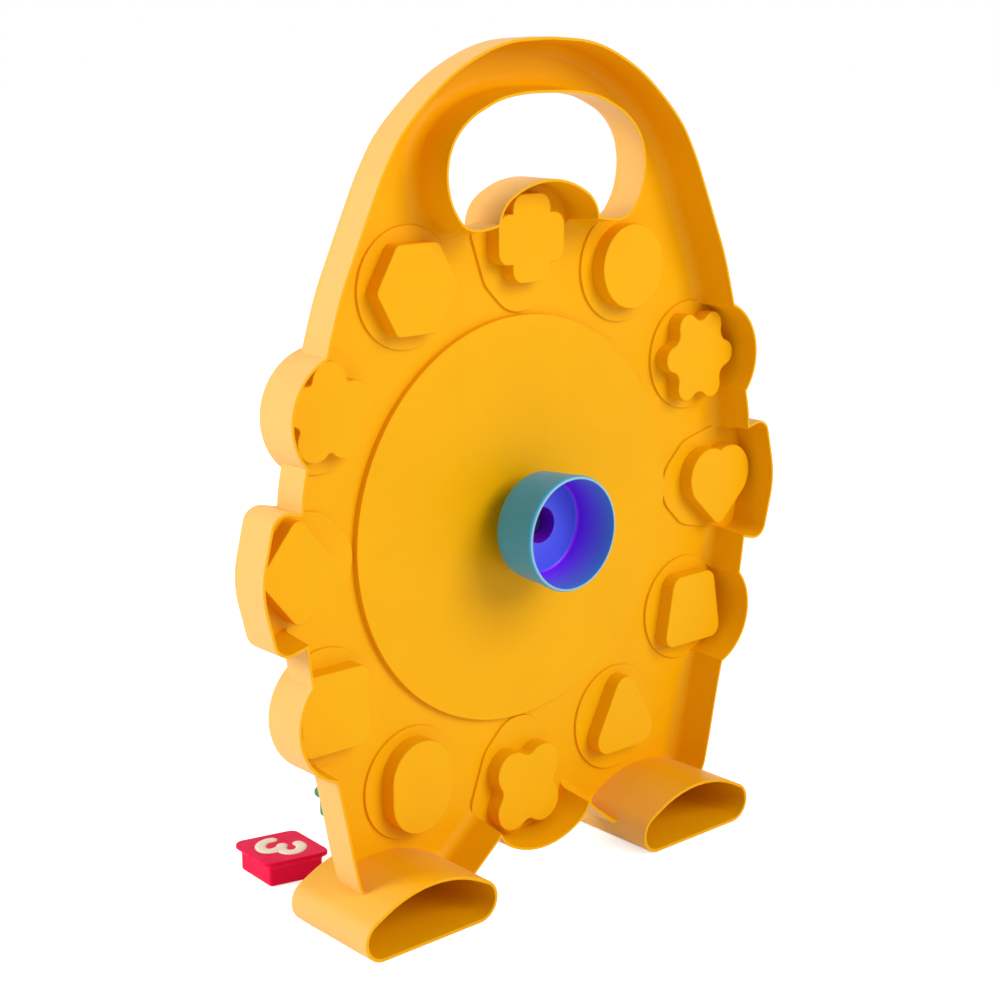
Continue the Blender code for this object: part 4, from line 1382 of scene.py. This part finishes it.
@dataclass
class Dial:
    """Dial plate with its minute marks."""

    edge_round: float = 0.4 * MM
    mark_circle: float = 69 * MM
    minute_mark: Point = (3.2 * MM, 0.9 * MM)
    hour_mark: Point = (6.5 * MM, 1.8 * MM)
    relief: float = 0.25 * MM

    def plate(self) -> Object:
        """Round plate with a bore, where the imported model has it.

        Returns:
            The plate's mesh object.
        """
        low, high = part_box("dial_plate")
        radius = (high[0] - low[0]) / 2
        bore, (front, rear), soft = Housing.bore, (low[1], high[1]), self.edge_round
        profile = [(bore, rear), (radius, rear), (radius, front + soft),
                   (radius - soft * MID_ROUND, front + soft * MID_ROUND), (radius - soft, front),
                   (bore, front)]
        return smooth(revolve("round_dial", profile, 180))

    def mark_tree(self, finish: Material) -> GeometryNodeTree:
        """Geometry nodes that set rounded bars round a circle.

        Args:
            finish: Material of the bars.

        Returns:
            The tree, with inputs for the count, the circle and a bar's size.
        """
        tree = bpy.data.node_groups.new("dial_marks", "GeometryNodeTree")
        for name, way, kind in (("Geometry", "OUTPUT", "Geometry"), ("Count", "INPUT", "Int"),
                                ("Circle", "INPUT", "Float"), ("Size", "INPUT", "Vector")):
            tree.interface.new_socket(name, in_out=way, socket_type=f"NodeSocket{kind}")
        given = add_node(tree, "NodeGroupInput").outputs
        ring = add_node(tree, "GeometryNodeMeshCircle",
                        links={"Vertices": given["Count"], "Radius": given["Circle"]})
        # A bar of unit length and radius, whose width is (1 - s ^ 8) ^ 0.5 and never under 0.08
        line = add_node(tree, "GeometryNodeCurvePrimitiveLine",
                        {"Start": (-0.5, 0.0, 0.0), "End": (0.5, 0.0, 0.0)})
        even = add_node(tree, "GeometryNodeResampleCurve", {"Count": 9},
                        {"Curve": line.outputs["Curve"]})
        along = add_node(tree, "GeometryNodeSplineParameter")
        share = add_node(tree, "ShaderNodeMapRange", {"To Min": -1.0, "To Max": 1.0},
                         {"Value": along.outputs["Factor"]}).outputs[0]
        for operation, constant, slot in (("POWER", 8.0, 0), ("SUBTRACT", 1.0, 1),
                                          ("POWER", 0.5, 0), ("MAXIMUM", 0.08, 0)):
            share = add_node(tree, "ShaderNodeMath", {1 - slot: constant}, {slot: share},
                             operation=operation).outputs[0]
        shaped = add_node(tree, "GeometryNodeSetCurveRadius",
                          links={"Curve": even.outputs["Curve"], "Radius": share})
        section = add_node(tree, "GeometryNodeCurvePrimitiveCircle",
                           {"Resolution": 10, "Radius": 1.0})
        tube = add_node(tree, "GeometryNodeCurveToMesh", {"Fill Caps": True},
                        {"Curve": shaped.outputs["Curve"],
                         "Profile Curve": section.outputs["Curve"], "Scale": share})
        bar = add_node(tree, "GeometryNodeTransform",
                       links={"Geometry": tube.outputs["Mesh"], "Scale": given["Size"]})
        where = add_node(tree, "GeometryNodeInputPosition")
        turn = add_node(tree, "FunctionNodeAlignRotationToVector", {"Factor": 1.0},
                        {"Vector": where.outputs[0]}, axis="X", pivot_axis="Z")
        placed = add_node(tree, "GeometryNodeInstanceOnPoints",
                          links={"Points": ring.outputs["Mesh"],
                                 "Instance": bar.outputs["Geometry"],
                                 "Rotation": turn.outputs["Rotation"]})
        real = add_node(tree, "GeometryNodeRealizeInstances",
                        links={"Geometry": placed.outputs["Instances"]})
        dressed = add_node(tree, "GeometryNodeSetMaterial", {"Material": finish},
                           {"Geometry": real.outputs["Geometry"]})
        add_node(tree, "NodeGroupOutput", links={0: dressed.outputs["Geometry"]})
        return tree

    def marks(self, name: str, tree: GeometryNodeTree, count: int, size: Point) -> Object:
        """Ring of marks on the dial's face.

        Args:
            name: Name of the piece.
            tree: The mark tree.
            count: Number of marks.
            size: Length and width of one mark.

        Returns:
            The marks as one mesh object.
        """
        item = add_object(name + "_tree", bpy.data.meshes.new(name))
        step = item.modifiers.new("marks", "NODES")
        step.node_group = tree
        values = {"Count": count, "Circle": self.mark_circle,
                  "Size": (size[0], size[1] / 2, self.relief)}
        for socket in tree.interface.items_tree:
            if socket.name in values:
                step[socket.identifier] = values[socket.name]
        bpy.context.view_layer.update()
        made = frozen(item, name)
        stand = Matrix.Translation((0.0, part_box("dial_plate")[0][1], PLACES.centre_height))
        made.data.transform(stand @ Matrix.Rotation(RIGHT_ANGLE, 4, "X"))
        made.data.shade_smooth()
        return made

    def dress(self, palette: Palette) -> None:
        """Build dial and marks and put them on their body.

        Args:
            palette: All finishes.
        """
        dress(self.plate(), palette.cream, "clock", "cream_dial", "dial_plate")
        tree = self.mark_tree(palette.ink)
        for name, count, size in (("minute_marks", 60, self.minute_mark),
                                  ("hour_marks", 12, self.hour_mark)):
            dress(self.marks(name, tree, count, size), palette.ink, "clock", "blue_block")


@dataclass(frozen=True)
class HandSizes:
    """Sizes of one arrow-headed hand."""

    length: float
    hub: float
    stem: float
    head: float
    head_length: float
    hole: float
    angle: float


@dataclass
class Hands:
    """Hour hand, minute hand and the cap on the spindle's end."""

    tip: float = 1.6 * MM
    soft: float = 0.5 * MM
    overrun: float = 2 * MM
    step: float = math.radians(6)
    cap_bore: float = 3.3 * MM
    cap_lip: float = 0.8 * MM
    cap_edge: float = 0.3 * MM
    hour: HandSizes = HandSizes(50 * MM, 11 * MM, 4.4 * MM, 9.8 * MM, 21 * MM, 5.2 * MM,
                                math.radians(-55))
    minute: HandSizes = HandSizes(71 * MM, 9.5 * MM, 3.4 * MM, 7.8 * MM, 21 * MM, 3.3 * MM,
                                  math.radians(60))

    def outline(self, sizes: HandSizes, grow: float) -> Outline:
        """Arrow-headed outline that points along the hand's angle.

        Args:
            sizes: Sizes of the hand.
            grow: Amount of growth.

        Returns:
            The points, counter-clockwise.
        """
        start = math.acos(sizes.stem / sizes.hub)
        neck = sizes.length - sizes.head_length
        low = math.radians(30)
        points = [*arc((0.0, 0.0), sizes.hub, HALF_TURN - start, FULL_TURN + start, self.step),
                  (sizes.stem, neck), (sizes.head, neck),
                  *arc((0.0, sizes.length - self.tip), self.tip, low, HALF_TURN - low, low / 2),
                  (-sizes.head, neck), (-sizes.stem, neck)]
        cos, sin = math.cos(sizes.angle), math.sin(sizes.angle)
        return offset([(x * cos + z * sin, z * cos - x * sin) for x, z in points], grow)

    def build(self, name: str, node: str, sizes: HandSizes) -> Object:
        """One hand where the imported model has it.

        Args:
            name: Name of the piece.
            node: Node that gives its place along Y.
            sizes: Sizes of the hand.

        Returns:
            The hand's mesh object.
        """
        low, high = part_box(node)
        profile = [*edge(low[1], self.soft, 1, 3), *edge(high[1], self.soft / 2, -1, 2)[::-1]]
        hand = loft(name + "_body", lambda grow: self.outline(sizes, grow), profile)
        hole = loft(name + "_hole", circle(sizes.hole, self.step),
                    [(low[1] - self.overrun, 0.0), (high[1] + self.overrun, 0.0)])
        return smooth(frozen(combine(hand, Operation.CUT, [hole]), name))

    def cap(self) -> Object:
        """Domed cap with a blind hole for the spindle's end.

        Returns:
            The cap's mesh object.
        """
        low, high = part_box("centre_cap")
        radius, front, rear = (high[0] - low[0]) / 2, low[1], high[1]
        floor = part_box("spindle")[0][1] - PLACES.gap
        dome = bend((radius, front), radius, front + self.cap_lip - rear, 10)
        profile = [(0.0, floor), (self.cap_bore, floor), (self.cap_bore, rear),
                   (radius - self.cap_edge, rear), (radius, rear - self.cap_edge),
                   *dome[:-1], (0.0, front)]
        return smooth(revolve("domed_cap", profile))

    def dress(self, palette: Palette) -> None:
        """Build hands and cap and put them on their bodies.

        Args:
            palette: All finishes.
        """
        hour = self.build("arrow_hour_hand", "hour_hand", self.hour)
        dress(hour, palette.red, "hour_hand", "red_block", "hour_hand")
        minute = self.build("arrow_minute_hand", "minute_hand", self.minute)
        dress(minute, palette.blue, "knob_train", "blue_block", "minute_hand")
        dress(self.cap(), palette.yellow, "knob_train", "yellow_moulding", "centre_cap")


@dataclass
class Knob:
    """Cup-shaped turning knob with a hole in its floor, and its screw."""

    depth: float = 20 * MM
    base_radius: float = 19.9 * MM
    rim_radius: float = 21.4 * MM
    wall: float = 1.4 * MM
    floor: float = 2.5 * MM
    well: float = 6.6 * MM
    sleeve: float = 8.6 * MM
    web: float = 2.2 * MM
    hole: float = 3.3 * MM
    soft: float = 0.6 * MM
    foot_round: float = 1.2 * MM
    rim_round: float = 1.5 * MM
    rim_flat: float = 0.35 * MM
    inner_fillet: float = 1.6 * MM
    outer_shares: tuple[float, ...] = (0.75, 0.5, 0.25)
    inner_shares: tuple[float, ...] = (0.35, 0.65, 0.9)
    lip: tuple[Point, ...] = ((0.05 * MM, 0.25 * MM), (0.2 * MM, 0.05 * MM))
    margin: float = 0.15 * MM
    front: float = float(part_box("turning_knob")[0][1])
    rim: float = float(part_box("turning_knob")[1][1])
    cup_floor: float = rim - depth + floor
    widening: float = rim_radius - base_radius
    screw_head: float = 2.4 * MM
    screw_crown: float = 1 * MM
    screw_shank: float = 1.4 * MM
    recess: float = 1.8 * MM
    recess_depth: float = 1.2 * MM

    def profile(self) -> list[Point]:
        """Closed section of the knob.

        Returns:
            Radius and place along Y of each point.
        """
        front, rim, floor, soft = self.front, self.rim, self.cup_floor, self.soft
        base, web = rim - self.depth, front + self.web
        inner, mouth = self.base_radius - self.wall, self.rim_radius - self.wall
        return [
            *bend((self.rim_radius, rim), self.wall - self.rim_flat, self.rim_round, 6)[::-1],
            *((self.base_radius + self.widening * share, base + self.depth * share)
              for share in self.outer_shares),
            *bend((self.base_radius, base), self.foot_round, -self.foot_round, 4),
            (self.sleeve + soft, base), (self.sleeve, base - soft), (self.sleeve, front),
            (self.hole, front), (self.hole, web), (self.well, web), (self.well, floor - soft),
            (self.well + soft * MID_ROUND, floor - soft * MID_ROUND), (self.well + soft, floor),
            *bend((inner, floor), self.inner_fillet, -self.inner_fillet, 5)[::-1],
            *((inner + self.widening * share, floor + (rim - floor) * share)
              for share in self.inner_shares),
            *((mouth + out, rim - down) for out, down in self.lip)]

    def mask(self, radius: float, y: float) -> float:
        """Value of the mask that tells the cup's zones from the outside.

        Args:
            radius: Distance of a point from the axis.
            y: Its place along Y.

        Returns:
            The value of its zone; it runs from lip to wall down the cup.
        """
        floor = self.cup_floor
        height = (y - floor) / (self.rim - floor)
        inner = self.base_radius - self.wall + max(0.0, height) * self.widening
        if radius < self.well + self.margin and y < floor - self.soft / 2:
            return Zone.HOLE.value
        if radius < inner - self.inner_fillet / 2 and y > floor - self.soft:
            return Zone.FLOOR.value
        if radius < inner + self.margin and y > floor - self.soft:
            # This share darkens the wall from the lip's blue to violet towards the floor, a
            # painted shade deeper down the cup
            down = max(0.0, min(1.0, 1 - height))
            return Zone.LIP.value + (Zone.WALL.value - Zone.LIP.value) * down
        return (Zone.RIM if y > self.rim - 2 * self.margin else Zone.OUTSIDE).value

    def build(self) -> Object:
        """The knob, with an attribute that tells its cup from its outside.

        Returns:
            The knob's mesh object.
        """
        item = revolve("cup_knob", self.profile(), 128)
        mask = item.data.attributes.new(CUP, "FLOAT", "POINT")
        for vert, value in zip(item.data.vertices, mask.data):
            radius = math.hypot(vert.co.x, vert.co.z - PLACES.centre_height)
            value.value = self.mask(radius, vert.co.y)
        return smooth(item)

    def screw(self) -> Object:
        """Pan-head screw that holds the knob on the spindle.

        Returns:
            The screw's mesh object.
        """
        low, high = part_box("knob_screw")
        radius, end, top = (high[0] - low[0]) / 2, low[1], high[1]
        head, pit = top - self.screw_head, top - self.recess_depth
        profile = [(0.0, pit), (self.recess * 0.8, pit), (self.recess, top),
                   *bend((radius, top), self.screw_crown, self.screw_crown, 5)[::-1],
                   (radius, head), (self.screw_shank, head), (self.screw_shank, end), (0.0, end)]
        return smooth(revolve("pan_head_screw", profile, 64))

    def dress(self, palette: Palette) -> None:
        """Build knob and screw and put them on their body."""
        dress(self.build(), palette.knob, "knob_train", "blue_knob", "turning_knob")
        # The screw's dark violet finish is painted shade of the knob's hole
        dress(self.screw(), palette.blued_steel, "knob_train", "steel", "knob_screw")


def dress_bearings(palette: Palette) -> None:
    """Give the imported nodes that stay, all of them inside the bearing, their finishes.

    Args:
        palette: All finishes.
    """
    finishes = {"spindle": palette.steel, "spindle_bush": palette.cream,
                "friction_washer": palette.cream, "hand_washer": palette.cream}
    for node, finish in finishes.items():
        item = frame["nodes"][node]
        item.data.materials.clear()
        item.data.materials.append(finish)
        LOG.info("%s: packed node, new finish", node)


# Studio


@dataclass(frozen=True)
class Lamp:
    """Square soft white light: its place, its power in watts and the length of its side."""

    name: str
    place: Place
    power: float
    size: float


@dataclass
class Studio:
    """Pale floor, soft lights and the camera."""

    camera_place: Place = (0.451, 0.5274, 0.3073)
    azimuth: float = math.radians(138.277)
    elevation: float = math.radians(13.629)
    roll: float = math.radians(0.094)
    lens: float = 67.3
    sensor: float = 36.0
    shift: Point = (-0.0019, -0.0038)
    ambient: float = 0.45
    lamps: tuple[Lamp, ...] = (Lamp("key_light", (1.5, -0.55, 0.95), 21.0, 0.7),
                               Lamp("fill_light", (-0.45, 1.7, 1.15), 24.0, 1.2))
    aim: Place = (0.0, 0.03, 0.14)
    floor_reach: float = 12.0
    floor_drop: float = 0.2 * MM
    floor_glow: float = 0.64
    white: str = "#FFFFFF"

    def camera(self) -> None:
        """Camera at the photograph's viewing angle."""
        data = bpy.data.cameras.new("studio_camera")
        data.lens = self.lens
        data.sensor_width = self.sensor
        data.shift_x, data.shift_y = self.shift
        data.clip_start = 0.01
        item = add_object("studio_camera", data)
        item.matrix_world = (Matrix.Translation(self.camera_place)
                             @ Matrix.Rotation(self.azimuth, 4, "Z")
                             @ Matrix.Rotation(RIGHT_ANGLE - self.elevation, 4, "X")
                             @ Matrix.Rotation(self.roll, 4, "Z"))
        bpy.context.scene.camera = item

    def light(self, lamp: Lamp) -> None:
        """Soft light that faces the clock.

        Args:
            lamp: The light's facts.
        """
        data = bpy.data.lights.new(lamp.name, "AREA")
        data.energy = lamp.power
        data.size = lamp.size
        item = add_object(lamp.name, data)
        item.location = lamp.place
        way = Vector(self.aim) - Vector(lamp.place)
        item.rotation_euler = way.to_track_quat("-Z", "Y").to_euler()

    def two_looks(self, tree: NodeTree, output: str, lit: Node, seen: Node) -> None:
        """Show one shader to camera, glossy and transmission rays, and another to the rest.

        Args:
            tree: The node tree.
            output: Type name of its output node.
            lit: Shader that lights the scene.
            seen: Shader that is seen.
        """
        rays = add_node(tree, "ShaderNodeLightPath").outputs
        share = rays["Is Camera Ray"]
        for other in ("Is Glossy Ray", "Is Transmission Ray"):
            share = add_node(tree, "ShaderNodeMath", links={0: share, 1: rays[other]},
                             operation="MAXIMUM").outputs[0]
        mix = add_node(tree, "ShaderNodeMixShader",
                       links={0: share, 1: lit.outputs[0], 2: seen.outputs[0]})
        add_node(tree, output, links={"Surface": mix.outputs[0]})

    def world(self) -> None:
        """Even pale surroundings, white where the camera sees them."""
        world = bpy.data.worlds.new("pale_surroundings")
        world.use_nodes = True
        tree = world.node_tree
        tree.nodes.clear()
        soft, white = (add_node(tree, "ShaderNodeBackground",
                                {"Color": linear(self.white), "Strength": strength})
                       for strength in (self.ambient, 1.0))
        self.two_looks(tree, "ShaderNodeOutputWorld", soft, white)
        bpy.context.scene.world = world

    def floor(self) -> None:
        """Wide pale floor that keeps the object's shadow."""
        paint = bpy.data.materials.new("pale_floor_paint")
        paint.use_nodes = True
        tree = paint.node_tree
        tree.nodes.clear()
        matt = add_node(tree, "ShaderNodeBsdfDiffuse", {"Color": linear("#F2F2F2")})
        glow = add_node(tree, "ShaderNodeEmission",
                        {"Color": linear(self.white), "Strength": self.floor_glow})
        lifted = add_node(tree, "ShaderNodeAddShader",
                          links={0: matt.outputs[0], 1: glow.outputs[0]})
        self.two_looks(tree, "ShaderNodeOutputMaterial", matt, lifted)
        mesh = bpy.data.meshes.new("pale_floor")
        mesh.from_pydata([(x * self.floor_reach, y * self.floor_reach, -self.floor_drop)
                          for x, y in ((-1, -1), (1, -1), (1, 1), (-1, 1))], [], [(0, 1, 2, 3)])
        mesh.materials.append(paint)
        item = add_object("pale_floor", mesh)

    def build(self) -> None:
        """Set up camera, lights, floor and surroundings."""
        self.camera()
        for lamp in self.lamps:
            self.light(lamp)
        self.world()
        self.floor()
        bpy.context.scene.view_settings.view_transform = "Standard"


def main() -> None:
    """Build and dress the clock, sub-assembly by sub-assembly."""
    logging.basicConfig(level=logging.INFO, format="%(name)s %(message)s")
    palette = Palette()
    Studio().build()
    Housing().dress(palette)
    Blocks().dress(palette)
    Dial().dress(palette)
    Hands().dress(palette)
    Knob().dress(palette)
    dress_bearings(palette)


if __name__ == "__main__":
    main()
